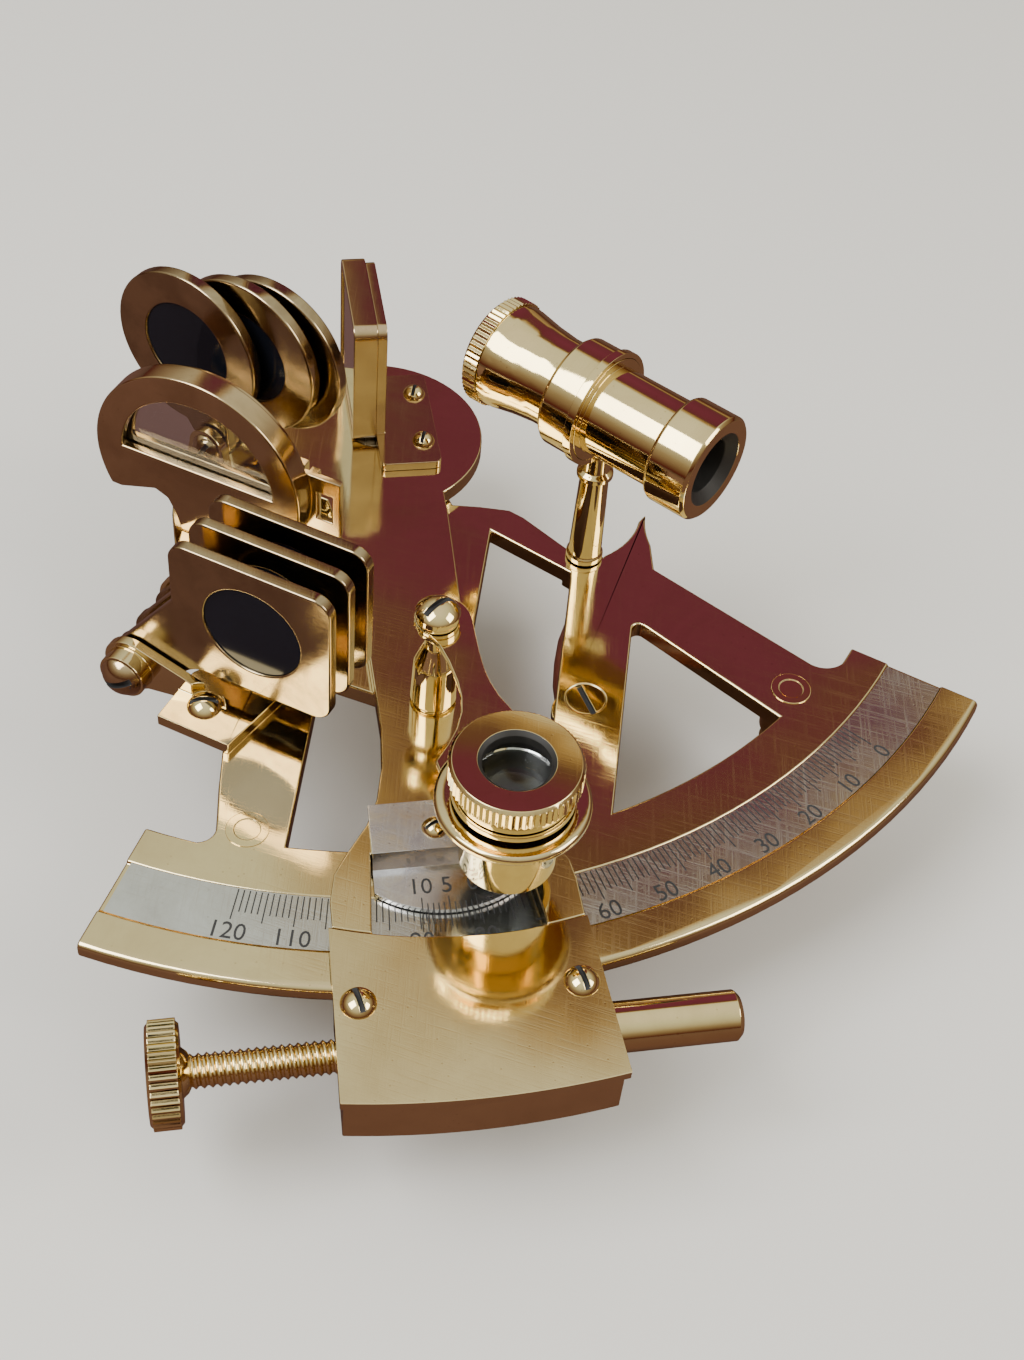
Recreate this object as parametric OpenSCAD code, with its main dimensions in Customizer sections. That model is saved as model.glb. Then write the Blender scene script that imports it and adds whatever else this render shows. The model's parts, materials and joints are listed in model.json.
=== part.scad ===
// Vernier sextant of brass, standing on its three legs.
// X is to the right, Y away from the user, Z up from the table.
// The origin is on the table, under the pivot of the index arm.

/* [Scale and limb] */
// Radius at which the long scale marks end
scale_r = 100; // [92:1:120]
// How far the limb reaches inside the scale radius
limb_inside = 11.6; // [11:0.2:14]
// Width of the limb, from its inner to its outer edge
limb_w = 21.4; // [20:0.2:24]
// Half of the angle that the limb spans
limb_half_deg = 40; // [38:1:46]
// Thickness of the frame casting
frame_t = 3; // [2.4:0.2:4]
// Depth of the silver scale strip let into the limb
strip_t = 0.4; // [0.3:0.1:0.8]

/* [Legs and handle] */
// Height of the legs under the frame
leg_h = 24; // [21:1:32]
// Radius of the round foot of each leg
foot_r = 3.6; // [3:0.2:5]
// Radius of the wooden grip at its swell
grip_r = 5.4; // [4.5:0.1:6]
// Height of the handle brackets, from the frame down to the grip axis
grip_drop = 11.5; // [9:0.5:13]

/* [Index arm] */
// Reading at which the arm is set
reading = 84.5; // [30:0.5:100]
// Thickness of the arm
arm_t = 2.7; // [2.2:0.1:3.4]
// Radius of the round head of the arm
arm_head_r = 18.5; // [17:0.5:21]
// Radius of the pivot shaft
pivot_r = 3.2; // [2.4:0.1:4]
// Height of the index mirror frame
index_mirror_h = 23.4; // [16:0.2:27]
// Length of the index mirror frame
index_mirror_l = 21; // [17:0.5:24]

/* [Tangent screw and clamp] */
// Radius of the tangent screw
screw_r = 2.38; // [1.9:0.05:2.6]
// Radius of the knurled head of the tangent screw
knob_r = 7.2; // [6:0.1:8.6]
// Radius of the spring barrel
barrel_r = 3.5; // [3.2:0.1:3.9]
// Length of the spring barrel outside the housing
barrel_l = 18; // [14:0.5:22]

/* [Magnifier] */
// Height of the pillar over the arm
pillar_h = 15.7; // [13:0.1:18]
// Distance from the pillar to the lens axis
lens_reach = 33.7; // [30:0.1:36]
// Radius of the lens tube
lens_tube_r = 6.7; // [5.8:0.1:7]
// Radius of the knurled cap
cap_r = 9.05; // [8.6:0.05:10]

/* [Mirrors and shades] */
// Radius of the horizon mirror frame
horizon_r = 18.3; // [15:0.1:19]
// Width of the rim round the horizon glass
horizon_rim = 4.7; // [3.6:0.1:5.4]
// Width of a horizon shade
shade_w = 26.1; // [22:0.1:29]
// Height of a horizon shade
shade_h = 24; // [22:0.5:28]
// Radius of the glass in every shade
shade_glass_r = 7.9; // [6:0.1:8.6]
// Radius of an index shade
index_shade_r = 13.4; // [11.5:0.1:13.8]

/* [Telescope] */
// Height of the telescope axis over the frame
scope_z = 31; // [28:0.5:36]
// Radius of the wide collar of the telescope
scope_r = 8.9; // [8.2:0.1:10]
// Direction of the telescope as it stands, from the X axis
scope_deg = 119.8; // [90:1:165]

/* [Fits] */
// Radial clearance of a shaft that turns in its hole
run_gap = 0.05; // [0.02:0.01:0.1]
// Gap between pieces that move past each other
move_gap = 0.3; // [0.2:0.05:0.5]
// Gap of a fixed piece in its seat
seat_gap = 0.02; // [0.01:0.01:0.05]

/* [Hidden] */
$fn = 72;

// Colours
brass = [0.83, 0.66, 0.34];
deep_brass = [0.72, 0.53, 0.25];
silver = [0.8, 0.8, 0.78];
steel = [0.6, 0.6, 0.62];
rosewood = [0.36, 0.12, 0.1];
dark_glass = [0.08, 0.08, 0.1];
mirror_glass = [0.75, 0.82, 0.86];
clear_glass = [0.8, 0.9, 0.95];

// Frame
frame_top = leg_h + frame_t;
limb_in_r = scale_r - limb_inside;
limb_out_r = limb_in_r + limb_w;
limb_edge_r = 1;
strip_in_r = scale_r - 5.3;
strip_out_r = scale_r + 3.5;
strip_end_deg = 0.5;
frame_head_r = 15;
leg_r = limb_in_r - 3.8;
leg_deg = 30.9;
leg_tenon_r = 2.2;
leg_ring_r = 3.1;
bush_r = pivot_r + 2.6;
handle_low = [12.2, -64.6];
handle_deg = 62.6;
handle_l = 37;
handle_strap = 22.5;
handle_screw_r = 3;
handle_shank_r = 1.5;

// Index arm
arm_gap = move_gap;
arm_top = arm_gap + arm_t;
arm_deg = (60 - reading) / 2;
seam_r = scale_r + 3.5;
arm_foot_w = 17.4;
window_w = 12.1;
window_top = scale_r - 11.4;
tongue_t = 1.2;
cover_bottom = arm_gap + tongue_t;
cover_out_r = limb_out_r + 18.7;
cover_screw_r = 2.5;
cover_screw_w = 14.9;
cover_screw_at = scale_r + 13.6;
cover_screw_low = -1.8;
seam_arc_r = 64.3;
seam_centre = [3.3, 64.2 - seam_r];
arm_hole_r = 1.1;

// Tangent screw and clamp
housing_in = limb_out_r + 1;
housing_out = cover_out_r - 1;
housing_wall = 2;
housing_z = arm_gap - 2 * barrel_r - 0.2;
tangent_s = limb_out_r + 6.6;
tangent_z = arm_gap - barrel_r - 0.1;
thread_pitch = 1.08;
lug_t = 5;
lug_gap = 0.5;
jaw_w = 14;
jaw_in = scale_r - 8;
jaw_t = 3;
jaw_lip_t = cover_bottom - 2 * arm_gap;
clamp_at = scale_r - 1;
clamp_shank_r = 1.9;
plunger_r = 2;

// Magnifier
pillar_at = [2, 39.3 - scale_r];
pillar_r = 3.45;
neck_r = 1.7;
lens_turn = 9.4;
sheet_t = 1;
sheet_z = arm_top + pillar_h;
flange_r = 10.6;
lens_tube_low = arm_top + 4.2;

// Horizon mirror, in a frame whose X runs along the mirror
horizon_at = [-33.74, -12.74];
horizon_deg = -46.5;
horizon_z = 13;
horizon_t = 4;
horizon_glass_t = 2;
horizon_back_t = 1.2;

// Horizon shades
shades_at = [-43.9, -44.9];
shades_deg = -47;
shade_t = 1.9;
shade_pitch = 5.5;
shade_low = 5.8;
shade_left = -2.5;
shade_corner = 3;
shade_hole = [10.8, 18];
shade_pin_at = [-9.3, 2.6];
shade_boss_l = 2.6;
shade_pin_r = 1.5;
shade_ear_r = 4;
bracket_t = 1.6;
bracket_base_t = 2;
bracket_screw_r = 2.6;

// Index shades
index_shades_at = [-27.3, -0.85];
index_shades_deg = -54;
index_shade_t = 2.2;
index_shade_pitch = 3.4;
index_pin_z = 9.3;
index_arm_l = 16.7;
index_leans = [-18.5, 12, 21.5];
index_pin_r = 1.3;

// Telescope
post_at = [24.3, -35.4];
post_r = 2.7;
post_bore_r = 1.8;
scope_ring_w = 1.4;
scope_tube_r = scope_r - 1.75;
scope_wall = 0.8;
draw_r = scope_tube_r - scope_wall - run_gap;

function polar(r, a) = [r * sin(a), -r * cos(a)];
function mirrored(p) = [-p[0], p[1]];
// A point on the arm, at a distance inside the scale radius
function inside(x, distance) = [x, distance - scale_r];

module on_frame() { translate([0, 0, frame_top]) children(); }
module on_arm() { on_frame() rotate([0, 0, arm_deg]) children(); }
module at_horizon() { on_frame() translate(horizon_at) rotate([0, 0, horizon_deg]) children(); }
module at_shades() { on_frame() translate(shades_at) rotate([0, 0, shades_deg]) children(); }
module at_index_shades() {
  on_frame() translate([index_shades_at[0], index_shades_at[1], index_pin_z])
    rotate([0, 0, index_shades_deg]) children();
}
// Gives each profile the same thickness
module plates(t) { for (i = [0 : $children - 1]) linear_extrude(t) children(i); }
// Turns profiles drawn in X and Y up into X and Z, with their thickness along +Y
module upright(t) {
  rotate([90, 0, 0]) translate([0, 0, -t]) for (i = [0 : $children - 1]) linear_extrude(t) children(i);
}
// A cylinder along +Y
module rod_y(r, l) { rotate([-90, 0, 0]) cylinder(r = r, h = l); }
// A cylinder along +X
module rod_x(r, l) { rotate([0, 90, 0]) cylinder(r = r, h = l); }
// A rectangle with round corners
module round_rect(w, h, r) {
  translate([r, 0]) square([w - 2 * r, h]);
  translate([0, r]) square([w, h - 2 * r]);
  for (x = [r, w - r])
    for (y = [r, h - r])
      translate([x, y]) circle(r);
}
// Fills the hollow corner at p, between the directions to a and b, with a fillet that bites a little into the sides
module corner_fill(p, a, b, r) {
  bite = 0.3;
  dip = 0.03;
  da = (a - p) / norm(a - p);
  db = (b - p) / norm(b - p);
  half = acos(da * db) / 2;
  mid = (da + db) / norm(da + db);
  reach = r / tan(half);
  out_a = (da * cos(half) - mid) / sin(half) * bite;
  out_b = (db * cos(half) - mid) / sin(half) * bite;
  centre = p + mid * (r - dip) / sin(half);
  difference() {
    polygon([p - mid * bite / sin(half), p + da * reach + out_a, centre, p + db * reach + out_b]);
    translate(centre) circle(r);
  }
}
// A profile with knurled teeth round it
module knurl_2d(r, teeth, depth) {
  polygon([for (i = [0 : 2 * teeth - 1]) let (a = i * 180 / teeth)
    (r - (i % 2) * depth) * [cos(a), sin(a)]]);
}
// A domed slotted screw head on the plane z = 0, with its shank below
module domed_screw(head_r, head_h, shank_r, shank_l, slot_deg) {
  dome_r = (head_r * head_r + head_h * head_h) / (2 * head_h);
  difference() {
    intersection() {
      translate([0, 0, head_h - dome_r]) sphere(dome_r);
      cylinder(r = head_r, h = head_h + 1);
    }
    rotate([0, 0, slot_deg])
      translate([-head_r - 1, -head_r * 0.14, head_h * 0.5]) cube([2 * head_r + 2, head_r * 0.28, head_h]);
  }
  translate([0, 0, -shank_l]) cylinder(r = shank_r, h = shank_l);
}

// Frame outline, clockwise from the right of the head
limb_foot_right = polar(limb_in_r, 35.2);
limb_foot_left = polar(limb_in_r, -33.4);
window_r = limb_in_r - 1.9;
right_edge = [[8, -10], [8, -17.6], [12.2, -19.4], [16.6, -21.7], [18.2, -24], [22.2, -32.9],
  [26.9, -36.8], [33.6, -41.1], limb_foot_right];
left_edge = [limb_foot_left, [-47.3, -70.2], [-45.2, -63.9], [-42.6, -57], [-36.4, -45.5], [-34, -36], [-36.5, -24],
  [-38, -13], [-36.6, -6], [-33.4, 4], [-27, 9.5], [-18, 11.5], [-8, 11.5]];
body_points = concat(right_edge, [1.3 * limb_foot_right, 1.3 * limb_foot_left], left_edge);
right_window = [[26.2, -51.1], polar(window_r, 26.9), 1.1 * polar(window_r, 26.9),
  1.1 * polar(window_r, 4.9), polar(window_r, 4.9)];
left_window = [[-24.6, -48], mirrored(right_window[1]), mirrored(right_window[2]),
  mirrored(right_window[3]), mirrored(right_window[4]), [-14.5, -66], [-17.6, -54.3]];
middle_window = [[11.9, -25.4], [20.6, -38.4], [19.7, -40.4], [0, -78.2], [-11.5, -55.5],
  [-18.3, -43.5], [-20, -38.6], [-12, -25.8], [0, -47.6]];
ear_points = [[-0.6, -5], [12, -5], [16, 3], [0, 4]];

module spur() {
  difference() {
    polygon([[26.2, -37.4], [37.6, -29.8], [38.3, -29.4], [34, -42]]);
    translate([24.6, -22.6]) circle(14.2);
    translate([52.6, -38]) circle(16.8);
  }
}

module frame_plate() {
  difference() {
    plates(frame_t) {
      circle(frame_head_r);
      intersection() {
        polygon(body_points);
        circle(limb_in_r + 1);
      }
      translate(shades_at) rotate(shades_deg) polygon(ear_points);
      spur();
    }
    translate([0, 0, -1]) plates(frame_t + 2) {
      intersection() {
        polygon(right_window);
        circle(window_r);
      }
      intersection() {
        polygon(left_window);
        circle(window_r);
      }
      polygon(middle_window);
    }
  }
  plates(frame_t) {
    corner_fill(right_window[0], right_window[1], right_window[4], 1.2);
    corner_fill(left_window[0], left_window[1], left_window[6], 2);
    corner_fill(middle_window[3], middle_window[2], middle_window[4], 3);
    // the fillets where a side of the frame runs into the limb
    corner_fill(limb_foot_right, right_edge[7], limb_foot_right + [cos(35.2), sin(35.2)], 4);
    corner_fill(limb_foot_left, left_edge[1], limb_foot_left + [-cos(33.4), sin(33.4)], 2.6);
  }
}

module limb() {
  e = limb_edge_r;
  rotate([0, 0, -90 - limb_half_deg]) rotate_extrude(angle = 2 * limb_half_deg) difference() {
    union() {
      translate([limb_in_r, -frame_t]) square([limb_w - e, frame_t]);
      translate([limb_out_r - 2 * e, -frame_t + e]) square([2 * e, frame_t - 2 * e]);
      translate([limb_out_r - e, -e]) circle(e, $fn = 32);
      translate([limb_out_r - e, -frame_t + e]) circle(e, $fn = 32);
    }
    translate([strip_in_r - seat_gap, -strip_t])
      square([strip_out_r - strip_in_r + 2 * seat_gap, strip_t + 1]);
  }
}

module frame() {
  color(brass) on_frame() difference() {
    union() {
      translate([0, 0, -frame_t]) frame_plate();
      limb();
    }
    translate([0, 0, -frame_t - 1]) cylinder(r = bush_r + seat_gap, h = frame_t + 2);
    for (a = [-leg_deg, leg_deg])
      translate(concat(polar(leg_r, a), [-frame_t - 1])) cylinder(r = leg_tenon_r + seat_gap, h = frame_t + 2);
    translate(handle_low) {
      translate([0, 0, -frame_t - 1]) cylinder(r = handle_shank_r + seat_gap, h = frame_t + 2);
      translate([0, 0, -1.1]) cylinder(r = handle_screw_r + seat_gap, h = 2);
      rotate([0, 0, handle_deg]) translate([handle_strap, 0, -frame_t - 1]) cylinder(r = arm_hole_r + seat_gap, h = frame_t + 0.2);
    }
    translate([post_at[0], post_at[1], -frame_t - 1]) cylinder(r = post_bore_r + run_gap, h = frame_t + 2);
    bracket_holes();
  }
}

// Where the brackets are screwed to the frame, in the frame's own plane
module at_bracket_screws() {
  translate(horizon_at) rotate([0, 0, horizon_deg]) {
    translate([-0.5, 6.9, 0]) children();
    translate([6, 6.9, 0]) children();
  }
  translate(shades_at) rotate([0, 0, shades_deg]) translate([4.1, -3, 0]) children();
  translate(index_shades_at) rotate([0, 0, index_shades_deg]) {
    translate([-4.6, 2.6, 0]) children();
    translate([5, 2.6, 0]) children();
  }
}
module bracket_holes() {
  at_bracket_screws() translate([0, 0, -frame_t - 1]) cylinder(r = arm_hole_r + seat_gap, h = frame_t + 2);
}
module bracket_screws() {
  color(brass) on_frame() at_bracket_screws()
    translate([0, 0, bracket_base_t + seat_gap])
      domed_screw(bracket_screw_r, 1.7, arm_hole_r, bracket_base_t + frame_t - 0.4, 30);
}

module scale_strip() {
  a = limb_half_deg - strip_end_deg;
  color(silver) on_frame() rotate([0, 0, -90 - a]) rotate_extrude(angle = 2 * a)
    translate([strip_in_r, -strip_t]) square([strip_out_r - strip_in_r, strip_t]);
}

// Turned leg: foot, waist, two beads and the neck under the frame
leg_profile = [[0, 0], [foot_r - 0.6, 0], [foot_r, 0.8], [foot_r - 0.2, 2], [2.2, 4], [1.8, 8],
  [2.1, 12], [3, 15], [3.2, 15.8], [2.6, 16.8], [2.6, 17.6], [3.6, 18.6]];
module turned_leg(h) {
  rotate_extrude() polygon(concat(leg_profile, [[4, h], [0, h]]));
}
module side_leg(a) {
  ring_h = 0.12;
  color(brass) translate(polar(leg_r, a)) {
    turned_leg(leg_h);
    translate([0, 0, leg_h - 1]) cylinder(r = leg_tenon_r, h = frame_t + 1);
    translate([0, 0, frame_top]) difference() {
      cylinder(r = leg_ring_r, h = ring_h);
      translate([0, 0, -1]) cylinder(r = leg_tenon_r - 0.3, h = 2);
    }
  }
}
module left_leg() { side_leg(-leg_deg); }
module right_leg() { side_leg(leg_deg); }

// The head leg is a cup over the pivot nut
nut_h = 2.6;
nut_r = pivot_r + 0.7;
cup_wall = 1.3;
cup_in_r = nut_r + 0.6;
module head_leg() {
  cup_h = nut_h + 3;
  color(brass) difference() {
    union() {
      rotate_extrude() polygon(concat([for (p = leg_profile) if (p[1] < 15) p],
        [[cup_in_r + cup_wall, leg_h - cup_h - 1.5], [cup_in_r + cup_wall, leg_h], [0, leg_h]]));
      translate([0, 0, leg_h - 1.6]) cylinder(r = bush_r + 2.4, h = 1.6);
    }
    translate([0, 0, leg_h - cup_h]) cylinder(r = cup_in_r, h = cup_h + 1);
  }
}

module pivot_bush() {
  color(deep_brass) on_frame() translate([0, 0, -frame_t]) difference() {
    cylinder(r = bush_r, h = frame_t);
    translate([0, 0, -1]) cylinder(r = pivot_r + run_gap, h = frame_t + 2);
  }
}
module pivot_shaft() {
  color(steel) on_frame() {
    translate([0, 0, -frame_t - nut_h - 0.6]) cylinder(r = pivot_r - 0.8, h = frame_t + nut_h + 0.8);
    translate([0, 0, -frame_t + 0.02]) cylinder(r = pivot_r, h = frame_t + arm_top - 0.02);
  }
}
module pivot_nut() {
  color(brass) on_frame() translate([0, 0, -frame_t - nut_h - 0.2]) difference() {
    cylinder(r = nut_r, h = nut_h, $fn = 6);
    translate([0, 0, -1]) cylinder(r = pivot_r - 0.8 + seat_gap, h = nut_h + 2);
  }
}

// Handle behind the frame, drawn with its length along X
grip_z = -frame_t - grip_drop;
bracket_r = 3.4;
strap_t = 1.6;
strap_w = 6.4;
grip_l = handle_l - bracket_r - 0.1;
module along_grip() {
  on_frame() translate([handle_low[0], handle_low[1], grip_z]) rotate([0, 0, handle_deg]) children();
}
module handle_grip() {
  l = grip_l;
  color(rosewood) along_grip() translate([bracket_r + 0.05, 0, 0]) rotate([0, 90, 0]) difference() {
    rotate_extrude() polygon([[0, 0], [3.6, 0], [4.1, 0.6], [4.1, 1.4], [3.7, 2.2], [4.2, l * 0.2],
      [grip_r - 0.2, l * 0.36], [grip_r, l * 0.5], [grip_r - 0.2, l * 0.64], [4.2, l * 0.8],
      [3.7, l - 2.2], [4.1, l - 1.4], [4.1, l - 0.6], [3.6, l], [0, l]]);
    translate([0, 0, -1]) cylinder(r = 1.2 + seat_gap, h = 5);
    translate([0, 0, l - 6]) cylinder(r = arm_hole_r + seat_gap, h = 7);
  }
}
// Lower bracket: a turned post with a spigot in the grip
module lower_bracket() {
  difference() {
    union() {
      rotate([180, 0, 0]) rotate_extrude() polygon([[0, -grip_drop], [5, -grip_drop], [5, -grip_drop + 1.4],
        [bracket_r - 0.6, -grip_drop + 3.4], [bracket_r - 0.6, -5], [bracket_r, -3.6], [bracket_r, 3.4],
        [2.4, 4.6], [0, 4.8]]);
      rod_x(1.2, bracket_r + 3.6);
    }
    translate([0, 0, 2]) cylinder(r = handle_shank_r + seat_gap, h = grip_drop);
  }
}
// Upper bracket: a strap bent round the nut of the telescope stand
module upper_bracket() {
  x = handle_l;
  f = handle_strap;
  bend_z = grip_drop - 5.3;
  difference() {
    translate([0, strap_w / 2, 0]) rotate([90, 0, 0]) linear_extrude(strap_w)
      polygon([[f - 3.2, grip_drop], [f + 4.4, grip_drop], [f + 4.4, bend_z + strap_t], [x + strap_t, bend_z + strap_t],
        [x + strap_t, -3.6], [x, -3.6], [x, bend_z], [f + 4.4 - strap_t, bend_z], [f + 4.4 - strap_t, grip_drop - strap_t],
        [f - 3.2, grip_drop - strap_t]]);
    translate([f, 0, grip_drop - 3]) cylinder(r = arm_hole_r + seat_gap, h = 4);
    rod_x(arm_hole_r + seat_gap, x + 3);
  }
}
module handle_brackets() {
  color(deep_brass) along_grip() {
    lower_bracket();
    upper_bracket();
  }
}
module handle_screws() {
  color(brass) {
    on_frame() translate(handle_low) difference() {
      union() {
        translate([0, 0, -1.1]) cylinder(r = handle_screw_r, h = 1.1);
        translate([0, 0, -grip_drop + 1]) cylinder(r = handle_shank_r, h = grip_drop - 1);
      }
      translate([-0.45, -4, -0.6]) cube([0.9, 8, 1]);
    }
    along_grip() {
      translate([handle_strap, 0, grip_drop - strap_t - seat_gap]) rotate([180, 0, 0])
        domed_screw(2.1, 1.3, arm_hole_r, strap_t + frame_t - 1, 15);
      translate([handle_l + strap_t + seat_gap, 0, 0]) rotate([0, 90, 0])
        domed_screw(2.1, 1.3, arm_hole_r, strap_t + 5, 15);
    }
  }
}

// Horizon mirror: a round cell with a clear half above and a silvered half behind the solid half
skirt = [[-30, 4.6], [-14.4, 4.6], [-8, 6.8], [-5.8, 5.8], [-4.4, 3], [-3.6, 0], [9, 0], [9.4, 3], [10.6, 5.8],
  [13.4, 6.2], [30, 4.6], [30, 60], [-30, 60]];
module horizon_outline(r) {
  intersection() {
    translate([0, horizon_z]) circle(r);
    polygon(skirt);
  }
}
// The glass is a disc cut straight above the foot
module horizon_glass_2d(r) {
  intersection() {
    translate([0, horizon_z]) circle(r);
    translate([-30, 8]) square([60, 60]);
  }
}
module horizon_window(r) {
  intersection() {
    translate([0, horizon_z]) circle(r);
    translate([-30, horizon_z + 0.6]) square([60, 60]);
  }
}
horizon_glass_r = horizon_r - 2.4;
module horizon_mirror_frame() {
  color(brass) at_horizon() difference() {
    union() {
      difference() {
        upright(horizon_t) horizon_outline(horizon_r);
        translate([0, -1, 0]) upright(horizon_t + 2) horizon_window(horizon_r - horizon_rim);
        translate([0, horizon_t - horizon_glass_t - 0.3, -seat_gap])
          upright(horizon_glass_t + 1) horizon_glass_2d(horizon_glass_r + seat_gap);
      }
      translate([-3.6, 0, 0]) cube([12.6, 9.5, bracket_base_t]);
    }
    for (x = [-0.5, 6])
      translate([x, 6.9, -1]) cylinder(r = arm_hole_r + seat_gap, h = bracket_base_t + 2);
  }
}
module horizon_mirror_glass() {
  color(mirror_glass) at_horizon() translate([0, horizon_t - horizon_glass_t - 0.3, 0])
    upright(horizon_glass_t) horizon_glass_2d(horizon_glass_r);
}
module horizon_mirror_back() {
  back_r = horizon_r - 1;
  y = horizon_t + 0.02;
  color(deep_brass) at_horizon() difference() {
    union() {
      translate([0, y, 0]) upright(horizon_back_t) intersection() {
        translate([0, horizon_z]) circle(back_r);
        translate([-30, bracket_base_t + 3.2]) square([60, 60]);
      }
      // side clip with its slot, and the two stepped ribs beside it
      translate([horizon_r - 4, y, 7]) cube([9, horizon_back_t, 11]);
      translate([horizon_r - 4, y, 7]) cube([2, 3.2, 11]);
      translate([horizon_r - 1, y, 7]) cube([1.6, 2.2, 11]);
    }
    translate([0, y - 1, 0]) upright(horizon_back_t + 2) horizon_window(horizon_r - horizon_rim);
    translate([horizon_r + 0.9, y - 1, 9.6]) cube([2.8, 6, 5.4]);
  }
}

// Horizon shades: three square leaves on one pin
module shade_leaf(i) {
  ear = shade_pin_at;
  color(brass) at_shades() translate([0, (i - 1) * shade_pitch, 0]) difference() {
    upright(shade_t) {
      translate([shade_left, shade_low]) round_rect(shade_w, shade_h, shade_corner);
      translate(ear) circle(shade_ear_r);
      polygon([ear + [-3.1, 2.3], [shade_left + 0.5, shade_low + 13], [shade_left + 9, shade_low + 0.5],
        ear + [1.55, -3.6]]);
    }
    translate([3.2, -1, 0.4]) rod_y(5.4, shade_t + 2);
    translate([shade_hole[0], -1, shade_hole[1]]) rod_y(shade_glass_r + seat_gap, shade_t + 2);
    translate([shade_pin_at[0], -1, shade_pin_at[1]]) rod_y(shade_pin_r + run_gap, shade_t + 2);
  }
}
module shade_glass(i) {
  color(dark_glass) at_shades()
    translate([shade_hole[0], (i - 1) * shade_pitch + 0.35, shade_hole[1]]) rod_y(shade_glass_r, shade_t - 0.7);
}
shade_stack = 2 * shade_pitch + shade_t;
module bracket_ear() {
  difference() {
    union() {
      translate(shade_pin_at) circle(shade_ear_r + 0.6);
      polygon([shade_pin_at + [-1.2, -4.44], [-1, 0], [9, 0], [7, bracket_base_t], [0, 4.6], shade_pin_at + [1.5, 4.35]]);
    }
    translate(shade_pin_at) circle(shade_pin_r + seat_gap);
  }
}
module horizon_shade_bracket() {
  color(brass) at_shades() difference() {
    union() {
      linear_extrude(bracket_base_t) polygon([[-1, -7.9], [11, -7.9], [14.5, shade_stack + 2], [6, shade_stack + 2], [-1, 2]]);
      translate([0, -move_gap - bracket_t, 0]) upright(bracket_t) bracket_ear();
      translate([shade_pin_at[0], -move_gap - bracket_t - shade_boss_l, shade_pin_at[1]])
        washer_y(3.8, shade_pin_r + seat_gap, shade_boss_l + 0.2);
      translate([0, shade_stack + move_gap, 0]) upright(bracket_t) bracket_ear();
    }
    translate([4.1, -3, -1]) cylinder(r = arm_hole_r + seat_gap, h = 9);
    translate([4.1, -3, bracket_base_t]) cylinder(r = bracket_screw_r + 0.4, h = 9);
  }
}
module horizon_shade_pin() {
  reach = shade_stack + 2 * move_gap + 2 * bracket_t + shade_boss_l + 0.6;
  color(brass) at_shades()
    translate([shade_pin_at[0], -move_gap - bracket_t - shade_boss_l - seat_gap, shade_pin_at[1]])
      rotate([90, 0, 0]) domed_screw(3.4, 2, shade_pin_r, reach, 25);
}
module washer_y(r_out, r_in, l) {
  difference() {
    rod_y(r_out, l);
    translate([0, -1, 0]) rod_y(r_in, l + 2);
  }
}
module horizon_shade_washers() {
  gap = shade_pitch - shade_t;
  color(deep_brass) at_shades() for (i = [0, 1])
    translate([shade_pin_at[0], i * shade_pitch + shade_t, shade_pin_at[1]])
      difference() {
        union() {
          translate([0, 0.05, 0]) rod_y(3.2, gap / 2 - 0.35);
          translate([0, gap / 2 - 0.4, 0]) rod_y(2.5, 0.8);
          translate([0, gap / 2 + 0.3, 0]) rod_y(3.2, gap / 2 - 0.35);
        }
        translate([0, -1, 0]) rod_y(shade_pin_r + seat_gap, gap + 2);
      }
}

// Index shades: three round leaves on one pin
module index_leaf_2d() {
  translate([0, index_arm_l]) circle(index_shade_r);
  circle(3.2);
  polygon([[-3.2, 0], [3.2, 0], [4.6, 5], [-4.6, 5]]);
}
module index_leaf_place(i) {
  at_index_shades() translate([0, (i - 1) * index_shade_pitch, 0]) rotate([0, index_leans[i - 1], 0]) children();
}
module index_leaf(i) {
  color(brass) index_leaf_place(i) difference() {
    upright(index_shade_t) index_leaf_2d();
    translate([0, -1, index_arm_l]) rod_y(shade_glass_r + seat_gap, index_shade_t + 2);
    translate([0, -1, 0]) rod_y(index_pin_r + run_gap, index_shade_t + 2);
  }
}
module index_glass(i) {
  color(dark_glass) index_leaf_place(i) translate([0, 0.4, index_arm_l]) rod_y(shade_glass_r, index_shade_t - 0.8);
}
index_stack = 2 * index_shade_pitch + index_shade_t;
module index_shade_bracket() {
  foot_w = 15;
  color(brass) difference() {
    at_index_shades() translate([0, 0, -index_pin_z]) difference() {
      union() {
        translate([-foot_w / 2, -move_gap - bracket_t, 0])
          cube([foot_w, index_stack + 2 * move_gap + 2 * bracket_t, bracket_base_t]);
        for (y = [-move_gap - bracket_t, index_stack + move_gap])
          translate([0, y, 0]) upright(bracket_t) {
            translate([0, index_pin_z]) circle(3.4);
            polygon([[-5.4, bracket_base_t - 1], [5.4, bracket_base_t - 1], [3.4, index_pin_z], [-3.4, index_pin_z]]);
          }
      }
      translate([0, -9, index_pin_z]) rod_y(index_pin_r + seat_gap, 30);
      for (x = [-4.6, 5])
        translate([x, 2.6, -1]) cylinder(r = arm_hole_r + seat_gap, h = bracket_base_t + 2);
    }
    // clear of the head of the arm
    on_frame() translate([0, 0, -1]) cylinder(r = arm_head_r + 0.4, h = arm_top + 1.4);
  }
}
module index_shade_pin() {
  reach = index_stack + 2 * move_gap + 2 * bracket_t + 0.6;
  color(brass) at_index_shades() translate([0, -move_gap - bracket_t - seat_gap, 0])
    rotate([90, 0, 0]) domed_screw(2.6, 1.6, index_pin_r, reach, 60);
}
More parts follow.
